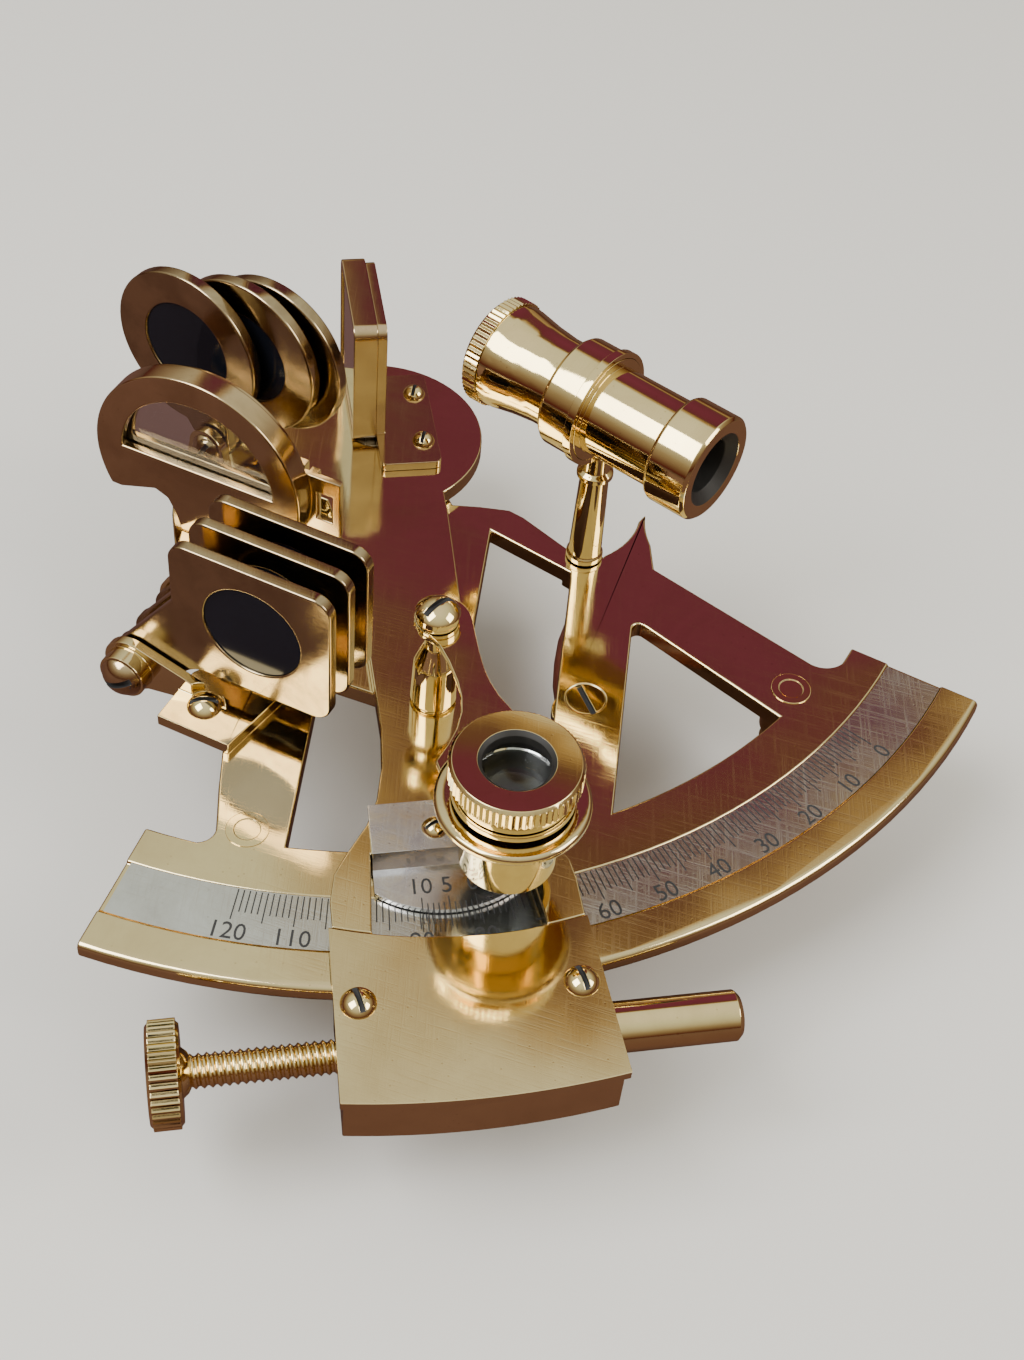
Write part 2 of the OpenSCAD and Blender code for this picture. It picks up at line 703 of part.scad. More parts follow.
module index_shade_washers() {
  gap = index_shade_pitch - index_shade_t;
  color(deep_brass) at_index_shades() for (i = [0, 1])
    translate([0, i * index_shade_pitch + index_shade_t + 0.05, 0]) washer_y(2.8, index_pin_r + seat_gap, gap - 0.1);
}

// Index arm, drawn with its length along -Y
arm_left = [[-10, -12], [-7.4, -30], [-6.5, -44], inside(-6.5, 34), inside(-7.2, 27), inside(-8.6, 21),
  inside(-10.6, 16.5), inside(-13.8, 12), inside(-16, 8.5), inside(-17, 4)];
arm_right = [[10, -12], [10, -20], [9.2, -38], inside(8.2, 40), inside(8.2, 28), inside(9.2, 21),
  inside(11.2, 16), inside(14.6, 11.5), inside(17, 7.5), inside(17.4, 4)];
module arm_plate() {
  difference() {
    union() {
      circle(arm_head_r);
      intersection() {
        polygon(concat([for (i = [len(arm_left) - 1 : -1 : 0]) arm_left[i]], arm_right,
          [[arm_foot_w, -seam_r - 5], [-arm_foot_w, -seam_r - 5]]));
        inside_seam(0);
      }
    }
    intersection() {
      polygon([[-window_w * 0.87, -window_top], [window_w * 0.87, -window_top],
        [window_w * 1.04, -seam_r - 5], [-window_w * 1.04, -seam_r - 5]]);
      inside_seam(1);
    }
  }
}
// The arc along which the arm meets the cover
module inside_seam(more) { translate(seam_centre) circle(seam_arc_r + more); }
module at_arm_screws() {
  translate([8, 8, 0]) children();
  translate([8, -4.3, 0]) children();
}
vernier_screw_at = inside(-1.2, 14.4);
module index_arm() {
  color(brass) on_arm() difference() {
    union() {
      translate([0, 0, arm_gap]) linear_extrude(arm_t) arm_plate();
      // two tongues that carry the housing under the cover
      for (side = [-1, 1])
        translate([0, 0, arm_gap]) linear_extrude(tongue_t) intersection() {
          difference() {
            circle(cover_out_r - 1.4);
            inside_seam(-1);
          }
          translate([side > 0 ? jaw_w / 2 + 3 : -arm_foot_w + 0.6, -140])
            square([arm_foot_w - 3.6 - jaw_w / 2, 60]);
        }
    }
    cylinder(r = pivot_r + seat_gap, h = 20, center = true);
    at_arm_screws() cylinder(r = arm_hole_r + seat_gap, h = 20, center = true);
    translate(vernier_screw_at) cylinder(r = arm_hole_r + seat_gap, h = 20, center = true);
    translate(pillar_at) cylinder(r = 1.5 + seat_gap, h = 20, center = true);
    cover_screw_holes();
  }
}
module at_cover_screws() {
  for (side = [-1, 1])
    translate([side * cover_screw_w, -sqrt(cover_screw_at * cover_screw_at - cover_screw_w * cover_screw_w), 0])
      children();
}
module cover_screw_holes() {
  at_cover_screws() translate([0, 0, cover_screw_low - 0.2]) cylinder(r = arm_hole_r + seat_gap, h = 20);
}
module cover_outline() {
  intersection() {
    difference() {
      circle(cover_out_r);
      inside_seam(0.06);
    }
    polygon([[-arm_foot_w, -seam_r + 8], [arm_foot_w, -seam_r + 8], [arm_foot_w + 2, -140], [-arm_foot_w - 2, -140]]);
  }
}
module cover_plate() {
  color(brass) on_arm() difference() {
    translate([0, 0, cover_bottom]) linear_extrude(arm_top - cover_bottom) cover_outline();
    cover_screw_holes();
  }
}
module cover_screws() {
  color(brass) on_arm() at_cover_screws() translate([0, 0, arm_top + seat_gap])
    domed_screw(cover_screw_r, 1.6, arm_hole_r, arm_top - cover_screw_low, 102);
}

// Index mirror on its bracket, beside the pivot axis
mirror_near = -2.5;
mirror_face = -3.7;
mirror_t = 3.9;
mirror_glass_t = 1.6;
plate_t = 1.6;
bracket_foot_t = 1.5;
module at_mirror() { on_arm() translate([mirror_face, mirror_near, arm_top + 0.02]) children(); }
module index_mirror_frame() {
  rim = 1.3;
  color(brass) at_mirror() difference() {
    rotate([90, 0, 90]) linear_extrude(mirror_t) round_rect(index_mirror_l, index_mirror_h, 2);
    translate([-1, rim, rim]) cube([1 + mirror_glass_t + seat_gap, index_mirror_l - 2 * rim, index_mirror_h - 2 * rim]);
    translate([1, 4, 4]) cube([mirror_t, index_mirror_l - 8, index_mirror_h - 8]);
  }
}
module index_mirror_glass() {
  rim = 1.3 + seat_gap;
  color(mirror_glass) at_mirror() translate([0.3, rim, rim])
    cube([mirror_glass_t - 0.3, index_mirror_l - 2 * rim, index_mirror_h - 2 * rim]);
}
module index_mirror_bracket() {
  back = mirror_face + mirror_t + 0.02;
  color(deep_brass) on_arm() difference() {
    union() {
      translate([back, mirror_near + 0.6, arm_top + 0.02]) rotate([90, 0, 90]) linear_extrude(plate_t)
        round_rect(index_mirror_l - 1.2, index_mirror_h - 0.4, 2);
      translate([back, -9.8, arm_top + 0.02]) linear_extrude(bracket_foot_t) round_rect(10.2, 23, 1.2);
    }
    at_arm_screws() cylinder(r = arm_hole_r + seat_gap, h = 40, center = true);
  }
}
module arm_screws() {
  color(brass) on_arm() {
    at_arm_screws() translate([0, 0, arm_top + bracket_foot_t + 0.04]) domed_screw(1.9, 1.5, arm_hole_r, bracket_foot_t + arm_t - 0.4, 70);
    translate([vernier_screw_at[0], vernier_screw_at[1], arm_top + vernier_t + 0.04])
      domed_screw(1.9, 1.3, arm_hole_r, vernier_t + arm_t - 0.4, 20);
  }
}

// Vernier: a plate screwed on the arm and bent down over the scale
vernier_t = 0.8;
vernier_low = 0.25;
vernier_top_s = scale_r - 19.4;
vernier_fold_s = scale_r - 13.2;
vernier_edge_r = 16.3;
vernier_half_w = 10.8;
module vernier_plate() {
  foot_s = strip_in_r - 4.6;
  color(silver) on_arm() intersection() {
    difference() {
      translate([-vernier_half_w - 1, 0, 0]) rotate([90, 0, 90]) linear_extrude(2 * vernier_half_w + 2)
        polygon([[-vernier_top_s, arm_top + 0.02], [-vernier_top_s, arm_top + 0.02 + vernier_t],
          [-vernier_fold_s - 2.4, arm_top + 0.02 + vernier_t], [-foot_s, vernier_low + vernier_t],
          [-scale_r, vernier_low + vernier_t], [-scale_r, vernier_low], [-foot_s + 0.6, vernier_low],
          [-vernier_fold_s - 2.2, arm_top + 0.02]]);
      translate(vernier_screw_at) cylinder(r = arm_hole_r + seat_gap, h = 20, center = true);
    }
    linear_extrude(20) intersection() {
      polygon([[-vernier_half_w * 0.93, 1 - vernier_top_s], [vernier_half_w * 0.93, 1 - vernier_top_s],
        [vernier_half_w, -scale_r], [-vernier_half_w, -scale_r]]);
      union() {
        translate([0, vernier_edge_r - scale_r + 2.2]) circle(vernier_edge_r);
        translate([-30, -vernier_fold_s]) square([60, 20]);
      }
    }
  }
}

// Housing of the tangent screw, under the cover
module tangent_housing() {
  r_in = housing_in;
  color(brass) on_arm() difference() {
    translate([0, 0, housing_z]) linear_extrude(arm_gap - housing_z - 0.02) intersection() {
      difference() {
        circle(housing_out);
        circle(r_in);
      }
      polygon([[-arm_foot_w + 0.2, 10 - scale_r], [arm_foot_w - 0.2, 10 - scale_r],
        [arm_foot_w + 1.4, -scale_r - 40], [-arm_foot_w - 1.4, -scale_r - 40]]);
    }
    // the channel in which the lug of the clamp moves
    translate([-11, -housing_out + housing_wall, housing_z - 1]) cube([22, housing_out - housing_wall - r_in + 6, 20]);
    translate([-30, -tangent_s, tangent_z]) rod_x(screw_r + run_gap, 30);
    translate([10, -tangent_s, tangent_z]) rod_x(barrel_r - 0.6 + seat_gap, 20);
    cover_screw_holes();
  }
}
barrel_seat_r = barrel_r - 0.6;
barrel_wall = 0.6;
module spring_barrel() {
  start = arm_foot_w + 1.2;
  color(brass) on_arm() translate([start, -tangent_s, tangent_z]) rotate([0, 90, 0]) difference() {
    union() {
      rotate_extrude() polygon([[0, 0], [barrel_r, 0], [barrel_r, barrel_l - 0.7], [barrel_r - 0.7, barrel_l], [0, barrel_l]]);
      translate([0, 0, -5]) cylinder(r = barrel_seat_r, h = 6);
    }
    translate([0, 0, -6]) cylinder(r = barrel_seat_r - barrel_wall, h = barrel_l + 4);
  }
}
// The plunger bears on the lug, pushed by its spring
plunger_head = 3;
module plunger() {
  from = lug_t / 2 + lug_gap * 0.1;
  color(steel) on_arm() translate([from, -tangent_s, tangent_z]) rotate([0, 90, 0]) difference() {
    union() {
      cylinder(r = plunger_r, h = 13);
      translate([0, 0, 13]) cylinder(r = barrel_seat_r - barrel_wall - run_gap, h = plunger_head);
    }
    translate([0, 0, -1]) cylinder(r = 0.6, h = 3);
  }
}
spring_turns = 7;
module plunger_spring() {
  r = 1.5;
  wire = 0.3;
  from = lug_t / 2 + 13.2 + plunger_head;
  to = arm_foot_w + barrel_l - 1;
  steps = spring_turns * 16;
  color(steel) on_arm() translate([from, -tangent_s, tangent_z]) rotate([0, 90, 0])
    tube_path([for (i = [0 : steps]) [r * cos(i * 22.5), r * sin(i * 22.5), wire + (to - from - 2 * wire) * i / steps]], wire, 6);
}
// A tube swept along points
module tube_path(p, r, sides) {
  n = len(p);
  rings = [for (i = [0 : n - 1])
    let (d = p[min(i + 1, n - 1)] - p[max(i - 1, 0)], t = d / norm(d),
      radial = [p[i][0], p[i][1], 0] / norm([p[i][0], p[i][1], 0]),
      side = cross(t, radial) / norm(cross(t, radial)), up = cross(side, t))
    for (j = [0 : sides - 1]) p[i] + r * (cos(j * 360 / sides) * up + sin(j * 360 / sides) * side)];
  faces = concat([[for (j = [0 : sides - 1]) j]], [[for (j = [sides - 1 : -1 : 0]) (n - 1) * sides + j]],
    [for (i = [0 : n - 2]) for (j = [0 : sides - 1]) let (a = i * sides + j, b = i * sides + (j + 1) % sides)
      each [[a, a + sides, b], [b, a + sides, b + sides]]]);
  polyhedron(rings, faces);
}
module tangent_screw() {
  head_at = -42.6;
  head_l = 4.4;
  tip = lug_t / 2 - 0.4;
  color(brass) on_arm() translate([0, -tangent_s, tangent_z]) rotate([0, 90, 0]) {
    translate([0, 0, head_at + 0.4]) linear_extrude(head_l - 0.8) knurl_2d(knob_r, 40, 0.35);
    translate([0, 0, head_at]) cylinder(r1 = knob_r - 0.8, r2 = knob_r - 0.3, h = 0.5);
    translate([0, 0, head_at + head_l - 0.5]) cylinder(r1 = knob_r - 0.3, r2 = knob_r - 0.8, h = 0.5);
    translate([0, 0, head_at + head_l]) cylinder(r1 = screw_r + 1, r2 = screw_r, h = 1.2);
    translate([0, 0, head_at + head_l]) cylinder(r = screw_r, h = tip - head_at - head_l);
  }
}
// Clamp that grips the limb, with the lug that the tangent screw moves
module clamp_jaw() {
  low = -frame_t - arm_gap - jaw_t;
  lug_in = housing_in + 0.6;
  color(deep_brass) on_arm() difference() {
    union() {
      translate([0, 0, low]) linear_extrude(jaw_t) jaw_sector(jaw_in, lug_in + 1.4);
      translate([0, 0, low]) linear_extrude(-low + arm_gap + jaw_lip_t) jaw_sector(limb_out_r + 0.4, lug_in + 1.4);
      translate([0, 0, arm_gap]) linear_extrude(jaw_lip_t) jaw_sector(limb_out_r - 5, lug_in + 1.4);
      translate([-lug_t / 2, -tangent_s - 4, low]) cube([lug_t, tangent_s + 4 - lug_in, -low + arm_gap]);
    }
    translate([-20, -tangent_s, tangent_z]) rod_x(screw_r + run_gap, 20 + lug_t / 2 - 0.4);
    translate([0, -clamp_at, low - 1]) cylinder(r = clamp_shank_r + run_gap, h = jaw_t + 2);
  }
}
module jaw_sector(r_in, r_out) {
  intersection() {
    difference() {
      circle(r_out);
      circle(r_in);
    }
    translate([-jaw_w / 2, -scale_r - 50]) square([jaw_w, 100]);
  }
}
module clamp_screw() {
  low = -frame_t - arm_gap - jaw_t;
  color(brass) on_arm() translate([0, -clamp_at, low]) {
    translate([0, 0, -4.6]) linear_extrude(4.2) knurl_2d(5.4, 30, 0.3);
    translate([0, 0, -1]) cylinder(r = clamp_shank_r, h = jaw_t + 1 + arm_gap * 0.7);
  }
}

// Magnifier on its pillar
module at_pillar() { on_arm() translate([pillar_at[0], pillar_at[1], 0]) children(); }
module at_lens() { at_pillar() rotate([0, 0, lens_turn]) translate([0, -lens_reach, 0]) children(); }
module magnifier_pillar() {
  h = pillar_h;
  color(brass) at_pillar() translate([0, 0, arm_top + 0.02]) {
    rotate_extrude() polygon([[0, -arm_t], [1.5, -arm_t], [1.5, 0], [pillar_r - 0.5, 0], [pillar_r - 0.5, 0.5], [pillar_r, 0.7],
      [pillar_r - 0.25, h * 0.5], [neck_r + 0.5, h * 0.68], [neck_r, h * 0.76], [neck_r, h * 0.86],
      [2.9, h * 0.95], [2.9, h - 0.07], [1.3, h - 0.07], [1.3, h + sheet_t + 0.1], [0, h + sheet_t + 0.1]]);
  }
}
module magnifier_screw() {
  color(brass) at_pillar() translate([0, 0, sheet_z + sheet_t + 0.15]) {
    cylinder(r = 3, h = 0.7);
    translate([0, 0, 0.6]) cylinder(r = 3.1, h = 1.1);
    translate([0, 0, 1.7]) domed_screw(3.3, 1.8, 0.5, 0.5, 35);
  }
}
// The curved blade between the pillar and the ring
blade_right = [[5, 0.6], [4.9, -1.4], [4.5, -3.6], [3.9, -7.4], [3.6, -10.5], [3.6, -13.2], [4, -16], [4.9, -19], [6.4, -22], [8, -24.4]];
blade_left = [[-8, -25], [-5.6, -22.6], [-3.6, -20.2], [-2, -17.4], [-1.2, -14.8], [-0.85, -12], [-0.85, -8], [-1.2, -4.6], [-2.2, -2], [-3.2, 0.6]];
module lens_arm_outline() {
  difference() {
    union() {
      translate([0.9, 0.4]) circle(4.1);
      translate([0, -lens_reach]) circle(flange_r - 0.3);
      polygon(concat(blade_right, [[8, -30], [-8, -30]], blade_left));
    }
    circle(1.3 + run_gap);
    translate([0, -lens_reach]) circle(lens_tube_r + run_gap);
  }
}
module magnifier_arm() {
  color(brass) at_pillar() rotate([0, 0, lens_turn]) {
    translate([0, 0, sheet_z]) linear_extrude(sheet_t) lens_arm_outline();
    // the ring that holds the lens tube
    translate([0, -lens_reach, sheet_z]) difference() {
      rotate_extrude() polygon([[lens_tube_r - 1, -0.8], [flange_r - 1.2, -0.8], [flange_r - 0.3, -0.3], [flange_r, 0.2],
        [flange_r, 0.9], [flange_r - 0.4, 1.3], [flange_r - 1.6, 1.5], [lens_tube_r - 1, 1.5]]);
      translate([0, 0, -3]) cylinder(r = lens_tube_r + run_gap, h = 9);
    }
  }
}
cap_base = sheet_z + 5.5;
module magnifier_tube() {
  wall = 0.9;
  top = cap_base + 1.2;
  color(brass) at_lens() difference() {
    union() {
      translate([0, 0, lens_tube_low]) cylinder(r = lens_tube_r, h = top - lens_tube_low);
      translate([0, 0, sheet_z + 2.1]) cylinder(r = lens_tube_r + 1.7, h = 0.9);
    }
    translate([0, 0, lens_tube_low - 1]) cylinder(r = lens_tube_r - wall, h = 40);
  }
}
cap_h = 3.2;
cap_hole_r = 4.6;
module magnifier_cap() {
  neck_l = 2.3;
  color(brass) at_lens() translate([0, 0, cap_base]) difference() {
    union() {
      translate([0, 0, -neck_l]) cylinder(r = cap_r - 1.1, h = neck_l + 0.5);
      linear_extrude(cap_h - 0.5) knurl_2d(cap_r, 64, 0.3);
      translate([0, 0, cap_h - 0.5]) cylinder(r1 = cap_r - 0.1, r2 = cap_r - 0.5, h = 0.5);
    }
    translate([0, 0, -neck_l - 1]) cylinder(r = lens_tube_r + seat_gap, h = neck_l + 2.22);
    cylinder(r = cap_hole_r, h = 20);
    translate([0, 0, cap_h - 0.6]) cylinder(r1 = cap_hole_r, r2 = cap_hole_r + 0.7, h = 0.7);
  }
}
module magnifier_lens() {
  r = lens_tube_r - 0.9 - seat_gap;
  color(clear_glass) at_lens() translate([0, 0, cap_base - 2.6]) intersection() {
    cylinder(r = r, h = 3);
    translate([0, 0, 2.6 - 16]) sphere(16);
  }
}

// Telescope on its stand
module at_scope() {
  on_frame() translate([post_at[0], post_at[1], scope_z]) rotate([0, 0, scope_deg]) rotate([0, 90, 0]) children();
}
post_top = scope_z - scope_r + 0.2;
module telescope_stand() {
  color(brass) {
    on_frame() translate([post_at[0], post_at[1], 0]) difference() {
      union() {
        rotate_extrude() polygon([[0, move_gap], [post_r + 0.3, move_gap], [post_r + 0.3, 1.2], [post_r, 1.6],
          [post_r - 0.4, post_top - 5], [post_r + 0.2, post_top - 4.6], [post_r + 0.2, post_top - 3.8],
          [post_r - 0.5, post_top - 3.2], [post_r - 0.7, post_top + 0.6], [0, post_top + 0.6]]);
        translate([0, 0, -frame_t - 3.4]) cylinder(r = post_bore_r, h = frame_t + 5);
        translate([0, 0, -frame_t - 3]) cylinder(r = 3.4, h = 2.7, $fn = 6);
      }
      translate([0, 0, scope_z]) rotate([0, 0, scope_deg]) rotate([0, 90, 0])
        cylinder(r = scope_r + seat_gap, h = 20, center = true);
    }
    at_scope() difference() {
      cylinder(r = scope_r + 0.5, h = scope_ring_w, center = true);
      cylinder(r = scope_r - 0.4 + seat_gap, h = 10, center = true);
    }
  }
}
tube_front = 18.4;
module telescope_tube() {
  inner = scope_tube_r - scope_wall;
  color(brass) at_scope() difference() {
    rotate_extrude() polygon([[inner, -13], [scope_tube_r, -13], [scope_tube_r, -0.8], [scope_r - 0.4, -0.8],
      [scope_r - 0.4, 0.8], [scope_r, 0.8], [scope_r, 5.6], [scope_r - 0.5, 6.2], [scope_tube_r, 6.3], [scope_tube_r, 9.4],
      [scope_tube_r + 0.4, 13], [scope_tube_r + 1.1, 16.8], [scope_tube_r + 1.2, tube_front], [inner + 0.4, tube_front], [inner, 12]]);
  }
}
module objective_cell() {
  r = scope_tube_r + 1.6;
  color(brass) at_scope() translate([0, 0, tube_front + 0.02]) difference() {
    union() {
      linear_extrude(2.4) knurl_2d(r, 60, 0.25);
      translate([0, 0, 2.4]) cylinder(r1 = r - 0.3, r2 = r - 0.9, h = 0.6);
    }
    translate([0, 0, -1]) cylinder(r = scope_tube_r - 1.2, h = 6);
    translate([0, 0, -1]) cylinder(r = scope_tube_r - 0.6, h = 2.8);
  }
}
module objective_lens() {
  r = scope_tube_r - 0.6 - seat_gap;
  color(clear_glass) at_scope() translate([0, 0, tube_front + 0.05]) intersection() {
    cylinder(r = r, h = 3);
    translate([0, 0, 2.5 - 20]) sphere(20);
  }
}
eye_end = 20.7;
module eyepiece_tube() {
  bore = 4.4;
  cap_out = scope_r - 0.4;
  color(brass) at_scope() rotate([180, 0, 0]) difference() {
    union() {
      cylinder(r = draw_r, h = 14);
      rotate_extrude() polygon([[0, 13.4], [cap_out - 0.3, 13.4], [cap_out, 13.9], [cap_out, eye_end - 0.5],
        [cap_out - 0.5, eye_end], [0, eye_end]]);
    }
    translate([0, 0, -1]) cylinder(r = draw_r - 0.8, h = 17);
    cylinder(r = bore, h = 40);
    translate([0, 0, eye_end - 1.4]) cylinder(r1 = bore, r2 = bore + 1.8, h = 1.5);
  }
}
module eyepiece_lens() {
  r = draw_r - 0.8 - seat_gap;
  color(clear_glass) at_scope() rotate([180, 0, 0]) translate([0, 0, 13.2]) intersection() {
    cylinder(r = r, h = 2.6);
    translate([0, 0, 16]) sphere(16);
  }
}

frame();
scale_strip();
left_leg();
right_leg();
head_leg();
pivot_bush();
handle_grip();
handle_brackets();
handle_screws();
horizon_mirror_frame();
horizon_mirror_glass();
horizon_mirror_back();
bracket_screws();
horizon_shade_bracket();
horizon_shade_pin();
horizon_shade_washers();
shade_leaf(1);  // horizon_shade_1
shade_leaf(2);  // horizon_shade_2
shade_leaf(3);  // horizon_shade_3
shade_glass(1);  // horizon_shade_glass_1
shade_glass(2);  // horizon_shade_glass_2
shade_glass(3);  // horizon_shade_glass_3
index_shade_bracket();
index_shade_pin();
index_shade_washers();
index_leaf(1);  // index_shade_1
index_leaf(2);  // index_shade_2
index_leaf(3);  // index_shade_3
index_glass(1);  // index_shade_glass_1
index_glass(2);  // index_shade_glass_2
index_glass(3);  // index_shade_glass_3
index_arm();
pivot_shaft();
pivot_nut();
index_mirror_frame();
index_mirror_glass();
index_mirror_bracket();
arm_screws();
vernier_plate();
cover_plate();
cover_screws();
tangent_housing();
spring_barrel();
plunger();
plunger_spring();
tangent_screw();
clamp_jaw();
clamp_screw();
magnifier_pillar();
magnifier_screw();
magnifier_arm();
magnifier_tube();
magnifier_cap();
magnifier_lens();
telescope_stand();
telescope_tube();
objective_cell();
objective_lens();
eyepiece_tube();
eyepiece_lens();
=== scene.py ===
import bpy
import json
import math
from mathutils import Matrix, Vector


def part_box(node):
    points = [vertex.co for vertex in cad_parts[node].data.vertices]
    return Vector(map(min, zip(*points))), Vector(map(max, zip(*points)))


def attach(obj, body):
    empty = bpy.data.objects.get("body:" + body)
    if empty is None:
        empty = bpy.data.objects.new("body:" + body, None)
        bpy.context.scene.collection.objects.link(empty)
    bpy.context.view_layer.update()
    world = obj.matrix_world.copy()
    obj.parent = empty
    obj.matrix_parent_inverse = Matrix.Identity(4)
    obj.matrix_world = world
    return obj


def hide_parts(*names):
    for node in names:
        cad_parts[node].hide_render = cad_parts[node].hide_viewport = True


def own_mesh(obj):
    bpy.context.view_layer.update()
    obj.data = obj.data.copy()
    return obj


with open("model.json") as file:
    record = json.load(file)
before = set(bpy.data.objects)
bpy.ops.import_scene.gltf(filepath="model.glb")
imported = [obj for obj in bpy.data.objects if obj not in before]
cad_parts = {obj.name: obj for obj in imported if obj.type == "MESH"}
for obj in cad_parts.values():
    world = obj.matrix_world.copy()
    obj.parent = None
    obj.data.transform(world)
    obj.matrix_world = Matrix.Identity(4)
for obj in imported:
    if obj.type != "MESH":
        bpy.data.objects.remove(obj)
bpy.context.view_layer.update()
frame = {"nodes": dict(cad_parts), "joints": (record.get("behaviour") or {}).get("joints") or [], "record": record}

# Everything is modelled in millimetres and brought down to metres when it is placed
mm = 0.001


def move(x, y, z):
    return Matrix.Translation((x, y, z))


def turn(degrees, axis="Z"):
    return Matrix.Rotation(math.radians(degrees), 4, axis)


def jointNamed(name):
    return next(joint for joint in frame["joints"] if joint["name"] == name)


def turnOfAxis(name, sign=1):  # the turn about Z that brings X onto a joint's axis
    x, y, z = jointNamed(name)["axis"]
    return math.degrees(math.atan2(sign * y, sign * x))


# Where the assemblies stand, from the frame's top and on the arm, as in the CAD model
stands = {
    "magnifierPillar": (2, -60.7, 0), "lensTurn": 9.4, "lensReach": (0, -33.7, 0),
    "tangentScrew": (0, -116.4, -3.3), "telescope": (24.3, -35.4, 31),
    "horizonShades": (-43.9, -44.9, 0), "indexShades": (-27.3, -0.85, 9.3),
}
onFrame = move(0, 0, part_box("frame")[1].z / mm)
onArm = onFrame @ turn(turnOfAxis("tangent_screw_turn"))
atPillar = onArm @ move(*stands["magnifierPillar"])
atLens = atPillar @ turn(stands["lensTurn"]) @ move(*stands["lensReach"])
screwLine = onArm @ move(*stands["tangentScrew"]) @ turn(90, "Y")
scopeTurn = turn(turnOfAxis("eyepiece_draw", -1))
atScope = onFrame @ move(*stands["telescope"]) @ scopeTurn @ turn(90, "Y")
shadeTurn = turn(turnOfAxis("horizon_shade_1_tilt", -1) - 90)
outOfShades = onFrame @ move(*stands["horizonShades"]) @ shadeTurn @ turn(90, "X")
indexTurn = turn(turnOfAxis("index_shade_1_tilt") - 90)
outOfIndexShades = onFrame @ move(*stands["indexShades"]) @ indexTurn @ turn(90, "X")

# Shader helpers


def addNode(tree, kind, values=None, **settings):  # a value may be another node's output
    node = tree.nodes.new(kind)
    for key, value in settings.items():
        setattr(node, key, value)
    for key, value in (values or {}).items():
        if isinstance(value, bpy.types.NodeSocket):
            tree.links.new(value, node.inputs[key])
        else:
            node.inputs[key].default_value = value
    return node


def objectPlace(tree):
    return addNode(tree, "ShaderNodeTexCoord").outputs["Object"]


def mixColours(tree, factor, low, high):
    values = {"Factor": factor, 6: low, 7: high}
    return addNode(tree, "ShaderNodeMix", values, data_type="RGBA").outputs[2]


def colourRamp(tree, factor, rows):
    ramp = addNode(tree, "ShaderNodeValToRGB", {"Fac": factor})
    stops = ramp.color_ramp.elements
    stops[0].position, stops[1].position = rows[0][0], rows[-1][0]
    stops[0].color, stops[1].color = (*rows[0][1], 1), (*rows[-1][1], 1)
    for position, colour in rows[1:-1]:
        stops.new(position).color = (*colour, 1)
    return ramp.outputs["Color"]


def startGroup(name, inputs, outputs):
    tree = bpy.data.node_groups.new(name, "ShaderNodeTree")
    for label, kind, value in inputs:
        socket = tree.interface.new_socket(label, in_out="INPUT", socket_type=kind)
        socket.default_value = value
    for label, kind in outputs:
        tree.interface.new_socket(label, in_out="OUTPUT", socket_type=kind)
    given = tree.nodes.new("NodeGroupInput")
    return tree, given.outputs, tree.nodes.new("NodeGroupOutput")


scratches = {"directions": (24, -51), "from": 0.5, "full": 0.72}


def hairlineGroup(values):  # fine polishing scratches in two directions
    tree, given, out = startGroup(
        "hairlines",
        [("Fineness", "NodeSocketFloat", 900.0),
         ("Stretch", "NodeSocketVector", (1.0, 0.04, 1.0)),
         ("Coverage", "NodeSocketFloat", 0.5)],
        [("Mask", "NodeSocketFloat")],
    )
    place = objectPlace(tree)
    masks = []
    for angle in values["directions"]:
        turned = addNode(tree, "ShaderNodeVectorRotate",
                         {"Vector": place, "Angle": math.radians(angle)}, rotation_type="Z_AXIS")
        drawn = addNode(tree, "ShaderNodeVectorMath",
                        {0: turned.outputs["Vector"], 1: given["Stretch"]}, operation="MULTIPLY")
        noise = addNode(tree, "ShaderNodeTexNoise",
                        {"Vector": drawn.outputs["Vector"], "Scale": given["Fineness"],
                         "Detail": 3.0, "Roughness": 0.6})
        cut = addNode(tree, "ShaderNodeMapRange",
                      {"Value": noise.outputs["Fac"],
                       "From Min": values["from"], "From Max": values["full"]})
        masks.append(cut.outputs["Result"])
    both = addNode(tree, "ShaderNodeMath", {0: masks[0], 1: masks[1]}, operation="MAXIMUM")
    scaled = addNode(tree, "ShaderNodeMath",
                     {0: both.outputs["Value"], 1: given["Coverage"]}, operation="MULTIPLY")
    tree.links.new(scaled.outputs["Value"], out.inputs["Mask"])
    return tree


stains = {"from": 0.38, "full": 0.72, "speckScale": 650.0, "speckEdge": 0.12, "speckCore": 0.07,
          "speckShade": 0.55}


